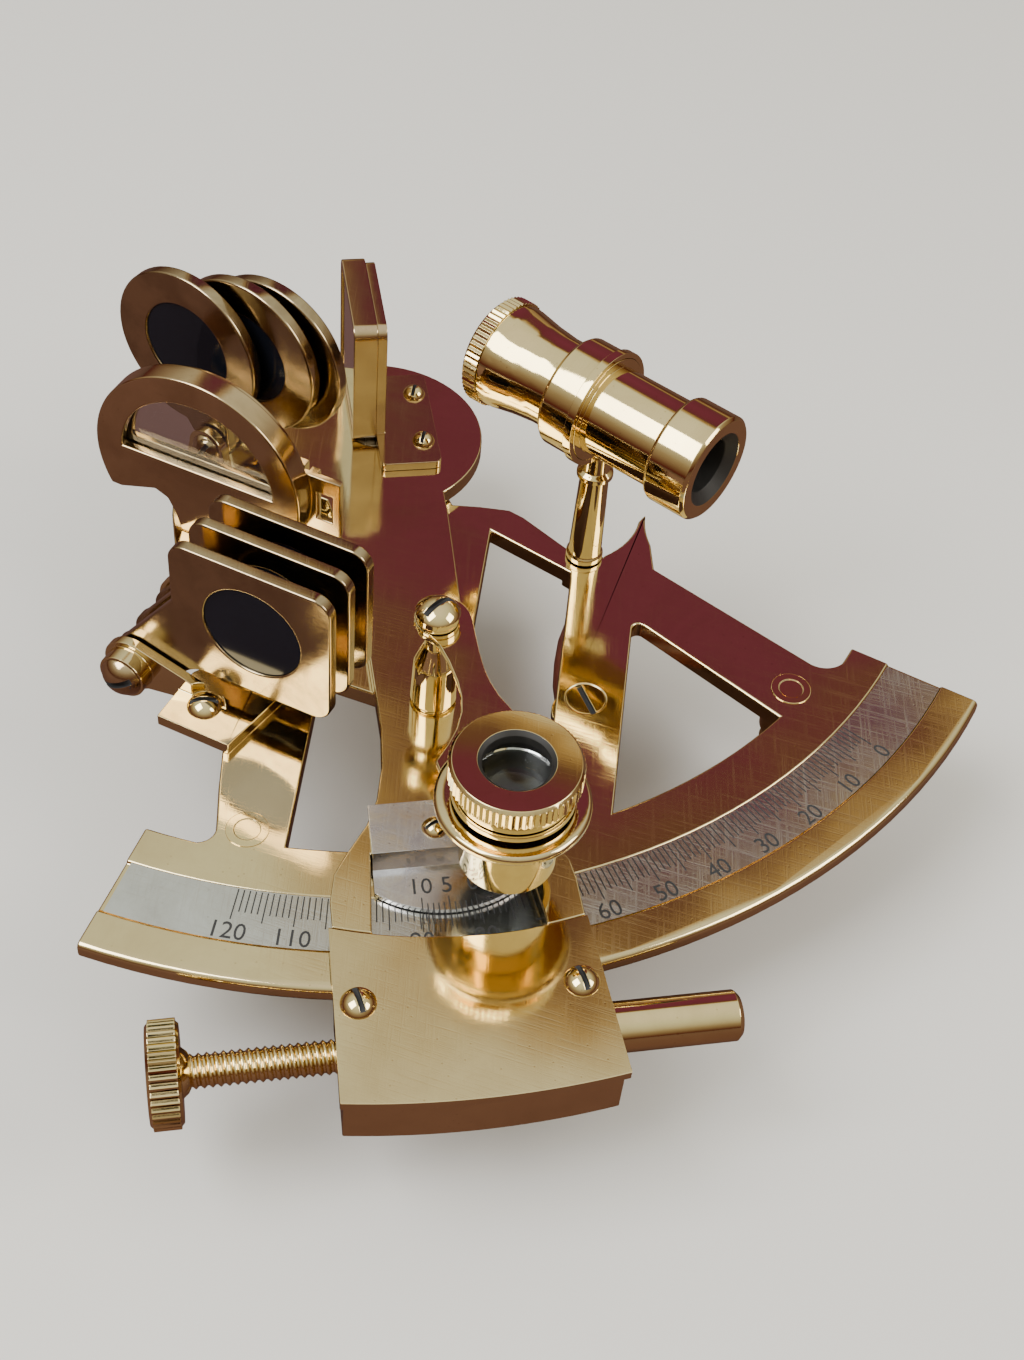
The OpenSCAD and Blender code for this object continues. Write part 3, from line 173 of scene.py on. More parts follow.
def tarnishGroup(values):  # colour and roughness drift where fingers and air have dulled the polish
    tree, given, out = startGroup(
        "tarnish",
        [("Clean", "NodeSocketColor", (0.8, 0.6, 0.3, 1)),
         ("Dull", "NodeSocketColor", (0.4, 0.25, 0.12, 1)),
         ("Amount", "NodeSocketFloat", 0.5), ("Patch Scale", "NodeSocketFloat", 60.0),
         ("Smooth", "NodeSocketFloat", 0.12), ("Rough", "NodeSocketFloat", 0.35)],
        [("Color", "NodeSocketColor"), ("Roughness", "NodeSocketFloat"),
         ("Specks", "NodeSocketFloat")],
    )
    place = objectPlace(tree)
    patches = addNode(tree, "ShaderNodeTexNoise",
                      {"Vector": place, "Scale": given["Patch Scale"],
                       "Detail": 6.0, "Roughness": 0.65, "Distortion": 0.6})
    spread = addNode(tree, "ShaderNodeMapRange",
                     {"Value": patches.outputs["Fac"],
                      "From Min": values["from"], "From Max": values["full"]})
    share = addNode(tree, "ShaderNodeMath",
                    {0: spread.outputs["Result"], 1: given["Amount"]}, operation="MULTIPLY")
    grains = addNode(tree, "ShaderNodeTexVoronoi",
                     {"Vector": place, "Scale": values["speckScale"], "Randomness": 1.0})
    specks = addNode(tree, "ShaderNodeMapRange",
                     {"Value": grains.outputs["Distance"],
                      "From Min": values["speckEdge"], "From Max": values["speckCore"]})
    faint = addNode(tree, "ShaderNodeMath",
                    {0: specks.outputs["Result"], 1: values["speckShade"]}, operation="MULTIPLY")
    dulled = addNode(tree, "ShaderNodeMath",
                     {0: share.outputs["Value"], 1: faint.outputs["Value"]}, operation="MAXIMUM")
    blend = mixColours(tree, dulled.outputs["Value"], given["Clean"], given["Dull"])
    gloss = addNode(tree, "ShaderNodeMapRange",
                    {"Value": share.outputs["Value"],
                     "To Min": given["Smooth"], "To Max": given["Rough"]})
    tree.links.new(blend, out.inputs["Color"])
    tree.links.new(gloss.outputs["Result"], out.inputs["Roughness"])
    tree.links.new(specks.outputs["Result"], out.inputs["Specks"])
    return tree


hairlines = hairlineGroup(scratches)
tarnish = tarnishGroup(stains)


def startMaterial(name):
    made = bpy.data.materials.new(name)
    made.use_nodes = True
    return made, made.node_tree, made.node_tree.nodes["Principled BSDF"]


# What every metal starts from; each finish below gives its own clean and dull colours
metalLooks = {
    "amount": 0.5, "patchScale": 60.0, "smooth": 0.12, "rough": 0.32,
    "fineness": 3200.0, "stretch": (1.0, 0.03, 1.0), "coverage": 0.4,
    "scratchRoughness": 0.1, "scratchDepth": 0.02, "scratchReach": 0.0002,
    "swellScale": 55.0, "wave": 0.05, "tilt": (0, 0, 0), "dish": 0, "middle": (0, 0, 0),
}


def metal(name, **changes):
    values = {**metalLooks, **changes}
    made, tree, shader = startMaterial(name)
    link = tree.links.new
    shader.inputs["Metallic"].default_value = 1.0
    aged = addNode(tree, "ShaderNodeGroup", {
        "Clean": (*values["clean"], 1), "Dull": (*values["dull"], 1), "Amount": values["amount"],
        "Patch Scale": values["patchScale"], "Smooth": values["smooth"], "Rough": values["rough"],
    }, node_tree=tarnish)
    lines = addNode(tree, "ShaderNodeGroup", {
        "Fineness": values["fineness"], "Stretch": values["stretch"],
        "Coverage": values["coverage"],
    }, node_tree=hairlines)
    added = addNode(tree, "ShaderNodeMath",
                    {0: lines.outputs["Mask"], 1: values["scratchRoughness"],
                     2: aged.outputs["Roughness"]}, operation="MULTIPLY_ADD")
    link(aged.outputs["Color"], shader.inputs["Base Color"])
    link(added.outputs["Value"], shader.inputs["Roughness"])
    # Hand-filed faces are never quite flat: they lean a little and swell slowly
    place = objectPlace(tree)
    swell = addNode(tree, "ShaderNodeTexNoise",
                    {"Vector": place, "Scale": values["swellScale"], "Detail": 2.0})
    centred = addNode(tree, "ShaderNodeVectorMath",
                      {0: swell.outputs["Color"], 1: (0.5, 0.5, 0.5)}, operation="SUBTRACT")
    leaning = addNode(tree, "ShaderNodeVectorMath",
                      {0: centred.outputs["Vector"], 1: [values["wave"]] * 3, 2: values["tilt"]},
                      operation="MULTIPLY_ADD")
    surface = addNode(tree, "ShaderNodeNewGeometry")
    bent = addNode(tree, "ShaderNodeVectorMath",
                   {0: surface.outputs["Normal"], 1: leaning.outputs["Vector"]}, operation="ADD")
    if values["dish"]:  # a turned face that is slightly hollow towards its middle
        towards = addNode(tree, "ShaderNodeVectorMath",
                          {0: values["middle"], 1: place}, operation="SUBTRACT")
        bent = addNode(tree, "ShaderNodeVectorMath",
                       {0: towards.outputs["Vector"], 1: (values["dish"], values["dish"], 0),
                        2: bent.outputs["Vector"]}, operation="MULTIPLY_ADD")
    facing = addNode(tree, "ShaderNodeVectorMath",
                     {0: bent.outputs["Vector"]}, operation="NORMALIZE")
    hollows = addNode(tree, "ShaderNodeMath",
                      {0: lines.outputs["Mask"], 1: aged.outputs["Specks"]}, operation="MAXIMUM")
    bump = addNode(tree, "ShaderNodeBump",
                   {"Strength": values["scratchDepth"], "Distance": values["scratchReach"],
                    "Height": hollows.outputs["Value"], "Normal": facing.outputs["Vector"]},
                   invert=True)
    link(bump.outputs["Normal"], shader.inputs["Normal"])
    return made


brassLooks = {
    "plate": dict(clean=(0.80, 0.65, 0.35), dull=(0.55, 0.41, 0.20), amount=0.45,
                  smooth=0.06, rough=0.16),
    "turned": dict(clean=(0.85, 0.68, 0.34), dull=(0.58, 0.42, 0.18), amount=0.35,
                   smooth=0.05, rough=0.15, coverage=0.25, patchScale=110.0),
    # The shade leaves' brass is darker than the rest: painted shade, standing in for the dark surroundings that
    # the leaves reflect
    "shade": dict(clean=(0.50, 0.39, 0.23), dull=(0.25, 0.17, 0.10), amount=0.7,
                  smooth=0.10, rough=0.24, coverage=0.8, patchScale=140.0),
    "warm": dict(clean=(0.66, 0.50, 0.29), dull=(0.34, 0.23, 0.12), amount=0.6,
                 smooth=0.10, rough=0.26),
}
plateBrass = metal("plateBrass", **brassLooks["plate"])
frameBrass = metal("frameBrass", **brassLooks["plate"], coverage=0.55)
armBrass = metal("armBrass", **brassLooks["plate"], tilt=(0.01, -0.02, 0))
magnifierBrass = metal("magnifierBrass", **brassLooks["plate"], wave=0.10, tilt=(0.0, 0.06, 0))
capMiddle = (atLens.translation * mm)[:]
capBrass = metal("capBrass", **brassLooks["turned"], dish=9, middle=capMiddle)
turnedBrass = metal("turnedBrass", **brassLooks["turned"])
warmBrass = metal("warmBrass", **brassLooks["warm"])
leafBrassWithPaintedShade = metal("leafBrassWithPaintedShade", **brassLooks["shade"])
silvering = metal(
    "silvering", clean=(0.68, 0.68, 0.65), dull=(0.48, 0.47, 0.44), amount=0.6,
    patchScale=90.0, smooth=0.11, rough=0.24, coverage=0.8, scratchDepth=0.04)
vernierSilver = metal(
    "vernierSilver", clean=(0.86, 0.86, 0.87), dull=(0.33, 0.28, 0.32), amount=0.75,
    patchScale=150.0, smooth=0.14, rough=0.38, coverage=0.5)
screwSteel = metal(
    "screwSteel", clean=(0.55, 0.55, 0.56), dull=(0.3, 0.28, 0.26), smooth=0.2, rough=0.4)

silverBand = {"inner": 94.7, "outer": 103.5, "above": 26.9,
              "colour": (0.65, 0.65, 0.61), "roughness": 0.19}


def silverLimb(made, values):  # the silvering runs on past both ends of the divided strip
    tree = made.node_tree
    link = tree.links.new
    shader = tree.nodes["Principled BSDF"]
    place = objectPlace(tree)
    flat = addNode(tree, "ShaderNodeVectorMath", {0: place, 1: (1, 1, 0)}, operation="MULTIPLY")
    radius = addNode(tree, "ShaderNodeVectorMath",
                     {0: flat.outputs["Vector"]}, operation="LENGTH")
    middle = (values["inner"] + values["outer"]) / 2 * mm
    half = (values["outer"] - values["inner"]) / 2 * mm
    band = addNode(tree, "ShaderNodeMath",
                   {0: radius.outputs["Value"], 1: middle, 2: half}, operation="COMPARE")
    split = addNode(tree, "ShaderNodeSeparateXYZ", {"Vector": place})
    top = addNode(tree, "ShaderNodeMath",
                  {0: split.outputs["Z"], 1: values["above"] * mm}, operation="GREATER_THAN")
    mask = addNode(tree, "ShaderNodeMath",
                   {0: band.outputs["Value"], 1: top.outputs["Value"]}, operation="MULTIPLY")
    brass = shader.inputs["Base Color"].links[0].from_socket
    silver = (*values["colour"], 1)
    link(mixColours(tree, mask.outputs["Value"], brass, silver), shader.inputs["Base Color"])
    gloss = addNode(tree, "ShaderNodeMix",
                    {"Factor": mask.outputs["Value"],
                     2: shader.inputs["Roughness"].links[0].from_socket,
                     3: values["roughness"]}, data_type="FLOAT")
    link(gloss.outputs[0], shader.inputs["Roughness"])


silverLimb(frameBrass, silverBand)


def plainPaint(name, colour, roughness, grain=600.0, depth=0.1):
    made, tree, shader = startMaterial(name)
    link = tree.links.new
    shader.inputs["Roughness"].default_value = roughness
    noise = addNode(tree, "ShaderNodeTexNoise",
                    {"Vector": objectPlace(tree), "Scale": grain, "Detail": 4.0})
    worn = [channel * 2.2 + 0.004 for channel in colour]
    tint = mixColours(tree, noise.outputs["Fac"], (*colour, 1), (*worn, 1))
    link(tint, shader.inputs["Base Color"])
    bump = addNode(tree, "ShaderNodeBump",
                   {"Strength": depth, "Distance": 0.0001, "Height": noise.outputs["Fac"]})
    link(bump.outputs["Normal"], shader.inputs["Normal"])
    return made


# Black fill of the engraved marks, also used as painted shade in the slots of the screw heads
engravingAndSlotShade = plainPaint("engravingAndSlotShade", (0.012, 0.012, 0.013), 0.6)
blackening = plainPaint("blackening", (0.010, 0.009, 0.008), 0.55)
shadeGlass = plainPaint("shadeGlass", (0.003, 0.0035, 0.006), 0.08, grain=40.0, depth=0.0)
shadeGlass.node_tree.nodes["Principled BSDF"].inputs["IOR"].default_value = 1.35


def spottedGloss(name, noiseValues, glossValues, low, high):  # dull spots in gloss and tint
    made, tree, shader = startMaterial(name)
    link = tree.links.new
    noise = addNode(tree, "ShaderNodeTexNoise", {"Vector": objectPlace(tree), **noiseValues})
    spots = addNode(tree, "ShaderNodeMapRange", {"Value": noise.outputs["Fac"], **glossValues})
    link(spots.outputs["Result"], shader.inputs["Roughness"])
    tint = mixColours(tree, noise.outputs["Fac"], (*low, 1), (*high, 1))
    link(tint, shader.inputs["Base Color"])
    return made, shader


def mirrorSilver():
    made, shader = spottedGloss(
        "mirrorSilver", {"Scale": 130.0, "Detail": 5.0},
        {"From Min": 0.45, "From Max": 0.8, "To Min": 0.02, "To Max": 0.2},
        (0.88, 0.90, 0.90), (0.60, 0.60, 0.58))
    shader.inputs["Metallic"].default_value = 1.0
    return made


def clearGlass(name, tint):
    made, shader = spottedGloss(
        name, {"Scale": 180.0, "Detail": 4.0},
        {"From Min": 0.5, "From Max": 0.9, "To Min": 0.0, "To Max": 0.12},
        tint, [channel * 0.92 for channel in tint])
    shader.inputs["Transmission Weight"].default_value = 1.0
    shader.inputs["IOR"].default_value = 1.5
    return made


mirrorFace = mirrorSilver()
lensGlass = clearGlass("lensGlass", (0.93, 0.97, 0.96))

gripWood = {"heading": -62.6, "stretch": (0.12, 1, 1), "grainScale": 900.0, "grainDepth": 0.15,
            "dark": (0.05, 0.012, 0.01), "light": (0.22, 0.06, 0.035), "gloss": 0.35}


def roseWood(values):
    made, tree, shader = startMaterial("roseWood")
    link = tree.links.new
    shader.inputs["Coat Weight"].default_value = values["gloss"]
    shader.inputs["Roughness"].default_value = 0.35
    drawn = addNode(tree, "ShaderNodeMapping",
                    {"Vector": objectPlace(tree), "Scale": values["stretch"],
                     "Rotation": (0, 0, math.radians(values["heading"]))})
    grain = addNode(tree, "ShaderNodeTexNoise",
                    {"Vector": drawn.outputs["Vector"], "Scale": values["grainScale"],
                     "Detail": 6.0, "Distortion": 0.8})
    dark, light = (*values["dark"], 1), (*values["light"], 1)
    link(mixColours(tree, grain.outputs["Fac"], dark, light), shader.inputs["Base Color"])
    bump = addNode(tree, "ShaderNodeBump",
                   {"Strength": values["grainDepth"], "Distance": 0.0002,
                    "Height": grain.outputs["Fac"]})
    link(bump.outputs["Normal"], shader.inputs["Normal"])
    return made


wood = roseWood(gripWood)
print("materials are ready")

# Modelling helpers


def deselect():
    bpy.ops.object.select_all(action="DESELECT")


def pick(*pieces):
    deselect()
    for piece in pieces:
        piece.select_set(True)
    bpy.context.view_layer.objects.active = pieces[0]


def editAll():
    bpy.ops.object.mode_set(mode="EDIT")
    bpy.ops.mesh.select_all(action="SELECT")


def leaveEdit():
    bpy.ops.object.mode_set(mode="OBJECT")


def roundEdges(piece, width, segments=2, angle=30, smooth=38):
    pick(piece)
    if width:
        bpy.ops.object.modifier_add(type="BEVEL")
        bevel = piece.modifiers[-1]
        bevel.width, bevel.segments, bevel.limit_method = width, segments, "ANGLE"
        bevel.angle_limit, bevel.use_clamp_overlap = math.radians(angle), False
        bpy.ops.object.modifier_apply(modifier=bevel.name)
    bpy.ops.object.shade_smooth_by_angle(angle=math.radians(smooth))
    bpy.ops.object.modifier_add(type="WEIGHTED_NORMAL")
    piece.modifiers[-1].keep_sharp = True
    bpy.ops.object.modifier_apply(modifier=piece.modifiers[-1].name)


def bodyOf(node):
    bodies = frame["record"]["behaviour"]["bodies"]
    return next(body for body, nodes in bodies.items() if node in nodes)


def settle(piece, place, look, body, nodes=()):  # brings a finished piece to its place
    piece.data.transform(Matrix.Scale(mm, 4) @ place)
    piece.matrix_world = Matrix.Identity(4)
    piece.data.materials.clear()
    piece.data.materials.append(look)
    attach(piece, body)
    if nodes:
        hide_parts(*nodes)
    return piece


def settleNode(piece, place, look, node):  # the same, for a piece that stands for a CAD node
    return settle(piece, place, look, bodyOf(node), [node])


# Points closer than this are one, in mm, and faces flatter than this are one, in degrees
cadCleaning = {"mergeWithin": 0.002, "flatWithin": 0.6}


def cadCopy(node):  # a merged copy of a CAD piece, in millimetres
    piece = bpy.data.objects.new(node + "_finished", frame["nodes"][node].data.copy())
    bpy.context.scene.collection.objects.link(piece)
    piece.data.transform(Matrix.Scale(1 / mm, 4))
    pick(piece)
    if piece.data.has_custom_normals:
        bpy.ops.mesh.customdata_custom_splitnormals_clear()
    editAll()
    bpy.ops.mesh.remove_doubles(threshold=cadCleaning["mergeWithin"])
    bpy.ops.mesh.dissolve_limited(angle_limit=math.radians(cadCleaning["flatWithin"]))
    leaveEdit()
    return piece


def joined(name, pieces):
    pick(*pieces)
    bpy.ops.object.join()
    whole = bpy.context.object
    whole.name = name
    return whole


def finishNode(node, look, width, **edges):  # the CAD piece with its edges eased by polishing
    piece = cadCopy(node)
    roundEdges(piece, width, **edges)
    return settleNode(piece, Matrix.Identity(4), look, node)


def paintFaces(piece, place, look, chosen):  # a second finish on the faces that a test picks
    piece.data.materials.append(look)
    inward = (Matrix.Scale(mm, 4) @ place).inverted()
    flat = inward.to_3x3()
    for face in piece.data.polygons:
        if chosen(inward @ face.center, (flat @ face.normal).normalized()):
            face.material_index = len(piece.data.materials) - 1


def facesInward(centre, normal):  # the bore of a tube that runs along Z
    return normal.x * centre.x + normal.y * centre.y < -0.5 * math.hypot(centre.x, centre.y)


def headsOf(piece, place):  # middle, top and radius of each separate screw of a group
    inward = (Matrix.Scale(mm, 4) @ place).inverted()
    points = [inward @ vertex.co for vertex in piece.data.vertices]
    lead = list(range(len(points)))

    def leader(index):
        while lead[index] != index:
            lead[index] = lead[lead[index]]
            index = lead[index]
        return index

    for edge in piece.data.edges:
        lead[leader(edge.vertices[0])] = leader(edge.vertices[1])
    groups = {}
    for index, point in enumerate(points):
        groups.setdefault(leader(index), []).append(point)
    heads = []
    for group in groups.values():
        xs, ys, zs = zip(*group)
        middle = ((min(xs) + max(xs)) / 2, (min(ys) + max(ys)) / 2)
        heads.append((*middle, max(zs), (max(xs) - min(xs)) / 2))
    return heads


# Which faces of a screw head are its slot, as parts of the head's radius and height
slotShape = {"wallReach": 0.88, "floorReach": 0.97, "floorFrom": 0.35, "deepest": 0.65}


def darkenSlots(piece, place, height):  # painted shade: the slot faces of the screw heads get the black of the engraving
    heads = headsOf(piece, place)

    def inSlot(centre, normal):
        def away(head):
            return math.hypot(centre.x - head[0], centre.y - head[1])

        nearest = min(heads, key=away)
        top, radius = nearest[2:]
        reach, depth = away(nearest), top - centre.z
        wall = abs(normal.z) < 0.5 and reach < slotShape["wallReach"] * radius
        floor = (normal.z > 0.8 and depth > slotShape["floorFrom"] * height
                 and reach < slotShape["floorReach"] * radius)
        return depth < slotShape["deepest"] * height and (wall or floor)

    paintFaces(piece, place, engravingAndSlotShade, inSlot)


# How far polishing has rounded the edges of each piece, and its finish
easedEdges = {
    frameBrass: {"frame": 0.34},
    armBrass: {"index_arm": 0.24},
    magnifierBrass: {"magnifier_arm": 0.16},
    capBrass: {"magnifier_cap": 0.08},
    plateBrass: {
        "cover_plate": 0.2, "tangent_housing": 0.2, "index_shade_bracket": 0.15,
        "horizon_shade_bracket": 0.2, "handle_brackets": 0.15,
    },
    warmBrass: {
        "horizon_mirror_frame": 0.35, "horizon_mirror_back": 0.2, "index_mirror_frame": 0.2,
        "index_mirror_bracket": 0.15, "horizon_shade_pin": 0.1, "horizon_shade_washers": 0.12,
        "index_shade_pin": 0.1, "index_shade_washers": 0.1, "clamp_jaw": 0.15,
        "pivot_bush": 0.05,
    },
    leafBrassWithPaintedShade: {
        "horizon_shade_1": 0.3, "horizon_shade_2": 0.3, "horizon_shade_3": 0.3,
        "index_shade_1": 0.4, "index_shade_2": 0.4, "index_shade_3": 0.4,
    },
    turnedBrass: {
        "left_leg": 0.1, "right_leg": 0.1, "head_leg": 0.12, "bracket_screws": 0.08,
        "arm_screws": 0.08, "cover_screws": 0.1, "handle_screws": 0.08, "spring_barrel": 0.1,
        "magnifier_pillar": 0.1, "magnifier_screw": 0.1, "magnifier_tube": 0.1,
        "telescope_stand": 0.1, "telescope_tube": 0.12, "objective_cell": 0.05,
        "eyepiece_tube": 0.12, "clamp_screw": 0.06, "pivot_nut": 0.1,
    },
    silvering: {"scale_strip": 0},
    vernierSilver: {"vernier_plate": 0.06},
    wood: {"handle_grip": 0.1},
    screwSteel: {"pivot_shaft": 0.1, "plunger": 0.08},
}
broadEdge = 0.2  # a wider edge than this is rounded in three steps, not two
finished = {}
for look, widths in easedEdges.items():
    for node, width in widths.items():
        steps = 3 if width > broadEdge else 2
        finished[node] = finishNode(node, look, width, segments=steps)
print("the CAD pieces have their eased edges")

# Blackened bores of the tubes, and painted shade in the slots of the screws, with the height of their heads
boredTubes = {
    "telescope_tube": atScope, "objective_cell": atScope, "eyepiece_tube": atScope,
    "magnifier_tube": atLens, "magnifier_cap": atLens,
}
for node, place in boredTubes.items():
    paintFaces(finished[node], place, blackening, facesInward)
slottedHeads = {
    "cover_screws": (onArm, 1.6), "magnifier_screw": (onArm, 1.8), "arm_screws": (onArm, 1.5),
    "bracket_screws": (onFrame, 1.7), "handle_screws": (onFrame, 1.3),
    "horizon_shade_pin": (outOfShades, 2.0), "index_shade_pin": (outOfIndexShades, 1.6),
}
for node, (place, height) in slottedHeads.items():
    darkenSlots(finished[node], place, height)

threadSizes = {"pitch": 1.08, "outside": 2.38, "core": 1.98, "crest": 2.36, "start": -37.4,
               "turns": 36, "halfWidth": 0.46, "rootDepth": 0.02, "stepsPerTurn": 32,
               "easedBy": 0.06}


def threadedScrew(values):  # the plain CAD shank turned down and wound with a thread
    piece = cadCopy("tangent_screw")
    piece.data.transform(screwLine.inverted())
    for vertex in piece.data.vertices:
        reach = math.hypot(vertex.co.x, vertex.co.y)
        if abs(reach - values["outside"]) < 0.03:
            vertex.co.x *= values["core"] / reach
            vertex.co.y *= values["core"] / reach
    roundEdges(piece, values["easedBy"])
    depth = values["crest"] - values["core"] + values["rootDepth"]
    deselect()
    bpy.ops.mesh.primitive_circle_add(vertices=4, radius=1)
    ridge = bpy.context.object
    editAll()
    upright = math.radians(90)
    bpy.ops.transform.rotate(value=upright, orient_axis="X", center_override=(0, 0, 0))
    bpy.ops.transform.resize(value=(depth, 1, values["halfWidth"]))
    bpy.ops.transform.translate(value=(values["crest"] - depth, 0, values["start"]))
    leaveEdit()
    bpy.ops.object.modifier_add(type="SCREW")
    winding = ridge.modifiers[-1]
    winding.axis, winding.use_merge_vertices = "Z", False
    winding.steps = winding.render_steps = values["stepsPerTurn"]
    winding.screw_offset, winding.iterations = values["pitch"], values["turns"]
    bpy.ops.object.modifier_apply(modifier=winding.name)
    editAll()
    bpy.ops.mesh.remove_doubles(threshold=0.0005)
    bpy.ops.mesh.fill_holes(sides=4)
    bpy.ops.mesh.select_all(action="SELECT")
    bpy.ops.mesh.normals_make_consistent(inside=False)
    leaveEdit()
    whole = joined("tangent_screw_finished", [piece, ridge])
    return settleNode(whole, screwLine, turnedBrass, "tangent_screw")


threadedScrew(threadSizes)


def squeezedSpring():  # the CAD spring, smooth-shaded, placed, and given a mesh of its own
    piece = cadCopy("plunger_spring")
    roundEdges(piece, 0)
    settleNode(piece, Matrix.Identity(4), screwSteel, "plunger_spring")
    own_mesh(piece)


squeezedSpring()
print("bores, slots, the thread and the spring are done")

# These CAD pieces keep their own shape
plainFinish = {
    "horizon_mirror_glass": lensGlass, "index_mirror_glass": mirrorFace,
    "magnifier_lens": lensGlass, "objective_lens": lensGlass, "eyepiece_lens": lensGlass,
}
for leaf in (1, 2, 3):
    plainFinish[f"horizon_shade_glass_{leaf}"] = shadeGlass
    plainFinish[f"index_shade_glass_{leaf}"] = shadeGlass
for node, look in plainFinish.items():
    shown = frame["nodes"][node]
    shown.data.materials.clear()
    shown.data.materials.append(look)

# Graduations, as black-filled lines on the silver: readings, and radii and sizes in mm
scaleMarks = {"from": 0, "to": 120, "middle": 60, "longEvery": 5, "inner": 94.9,
              "long": 100.0, "short": 98.6, "width": 0.18, "height": 0.03}
scaleNumbers = {"every": 10, "top": 100.45, "height": 2.7, "relief": 0.03}
numberShape = {"drawnSize": 10, "narrowed": 0.92, "curveSteps": 3}


def lineMark(length, width, height):  # a bar along -Y from the origin, lying on z = 0
    deselect()
    bpy.ops.mesh.primitive_cube_add(size=1)
    mark = bpy.context.object
    editAll()
    bpy.ops.transform.resize(value=(width, length, height))
    bpy.ops.transform.translate(value=(0, -length / 2, height / 2))
    leaveEdit()
    return mark


def placedCopy(source, place):
    copied = source.copy()
    copied.data = source.data.copy()
    copied.data.transform(place)
    bpy.context.scene.collection.objects.link(copied)
    return copied


def number(text, height, relief):  # digits with their top edge at the origin, reading towards -Y
    deselect()
    bpy.ops.object.text_add()
    made = bpy.context.object
    made.data.body, made.data.align_x, made.data.extrude = text, "CENTER", 0
    made.data.size, made.data.resolution_u = numberShape["drawnSize"], numberShape["curveSteps"]
    bpy.ops.object.convert(target="MESH")
    made = bpy.context.object
    top = max(vertex.co.y for vertex in made.data.vertices)
    scale = height / top
    sized = Matrix.Diagonal((scale * numberShape["narrowed"], scale, 1, 1))
    made.data.transform(sized @ move(0, -top, 0))
    pick(made)
    editAll()
    bpy.ops.mesh.extrude_region_move(TRANSFORM_OT_translate={"value": (0, 0, relief)})
    bpy.ops.mesh.select_all(action="SELECT")
    bpy.ops.mesh.normals_make_consistent(inside=False)
    leaveEdit()
    return made


def scaleEngraving(values, digits):
    pieces = []
    longMark, shortMark = [
        lineMark(values[reach] - values["inner"], values["width"], values["height"])
        for reach in ("long", "short")]

    def toReading(reading, radius):
        return turn((values["middle"] - reading) / 2) @ move(0, -radius, 0)

    for reading in range(values["from"], values["to"] + 1):
        mark = longMark if reading % values["longEvery"] == 0 else shortMark
        pieces.append(placedCopy(mark, toReading(reading, values["inner"])))
    bpy.data.objects.remove(longMark)
    bpy.data.objects.remove(shortMark)
    for reading in range(values["from"], values["to"] + 1, digits["every"]):
        digit = number(str(reading), digits["height"], digits["relief"])
        digit.data.transform(toReading(reading, digits["top"]))
        pieces.append(digit)
    whole = joined("scale_engraving", pieces)
    return settle(whole, onFrame, engravingAndSlotShade, "frame_assembly")


scaleEngraving(scaleMarks, scaleNumbers)

# The vernier's face is its underside's height plus its sheet, over the frame's top
vernierMarks = {"armReads": 84.5, "zeroReads": 80.6, "count": 11, "step": 0.9, "longEvery": 5,
                "low": 0.25, "thick": 0.8, "outer": 99.9, "long": 4.4, "short": 3.4,
                "width": 0.16, "height": 0.03, "numberTop": 92.2, "numberHeight": 2.6}


def vernierEngraving(values):
    foot = move(0, 0, values["low"] + values["thick"])
    zero = values["armReads"] - values["zeroReads"]
    places = [foot @ turn((zero - step * values["step"]) / 2) for step in range(values["count"])]
    pieces = []
    for step, place in enumerate(places):
        length = values["short"] if step % values["longEvery"] else values["long"]
        mark = lineMark(length, values["width"], values["height"])
        mark.data.transform(place @ move(0, length - values["outer"], 0))
        pieces.append(mark)
    for step in range(0, values["count"], values["longEvery"]):
        digit = number(str(step), values["numberHeight"], values["height"])
        digit.data.transform(places[step] @ move(0, -values["numberTop"], 0))
        pieces.append(digit)
    whole = joined("vernier_engraving", pieces)
    return settle(whole, onArm, engravingAndSlotShade, "index_arm_assembly")


vernierEngraving(vernierMarks)
print("the scale and vernier are engraved")

# Studio: a pale floor, soft light and the camera of the photograph
paleFloor = {"size": 4.0, "colour": (0.78, 0.76, 0.73), "inBrass": (0.085, 0.036, 0.031),
             "roughness": 0.8}


def makeFloor(values):  # pale to the eye, and darker where the brass reflects it
    deselect()
    bpy.ops.mesh.primitive_plane_add(size=values["size"])
    floor = bpy.context.object
    floor.name = "floor"
    paint, tree, shader = startMaterial("paleFloor")
    shader.inputs["Roughness"].default_value = values["roughness"]
    ray = addNode(tree, "ShaderNodeLightPath")
    pale, dark = (*values["colour"], 1), (*values["inBrass"], 1)
    tint = mixColours(tree, ray.outputs["Is Glossy Ray"], pale, dark)
    tree.links.new(tint, shader.inputs["Base Color"])
    floor.data.materials.append(paint)


lights = {
    "key": {"place": (-0.5, -0.1, 0.7), "size": (0.5, 0.5), "power": 7.0, "colour": (1, 1, 1)},
    "fill": {"place": (0.6, -0.5, 0.6), "size": (0.5, 0.4), "power": 4.5,
             "colour": (1, 0.96, 0.9)},
}
lightAim = (0, -0.05, 0)


def makeLight(name, values, aim):
    lamp = bpy.data.objects.new(name, bpy.data.lights.new(name, "AREA"))
    bpy.context.scene.collection.objects.link(lamp)
    lamp.data.shape = "RECTANGLE"
    lamp.data.size, lamp.data.size_y = values["size"]
    lamp.data.energy, lamp.data.color = values["power"], values["colour"]
    lamp.location = values["place"]
    aimed = Vector(aim) - Vector(values["place"])
    lamp.rotation_euler = aimed.to_track_quat("-Z", "Y").to_euler()


skyColours = [
    (0.0, (0.10, 0.02, 0.02)), (0.12, (0.20, 0.12, 0.08)), (0.34, (0.38, 0.31, 0.22)),
    (0.56, (0.68, 0.66, 0.54)), (0.78, (0.88, 0.91, 0.80)), (1.0, (1.05, 1.05, 1.0)),
]
backdropColour = (0.8, 0.79, 0.77)
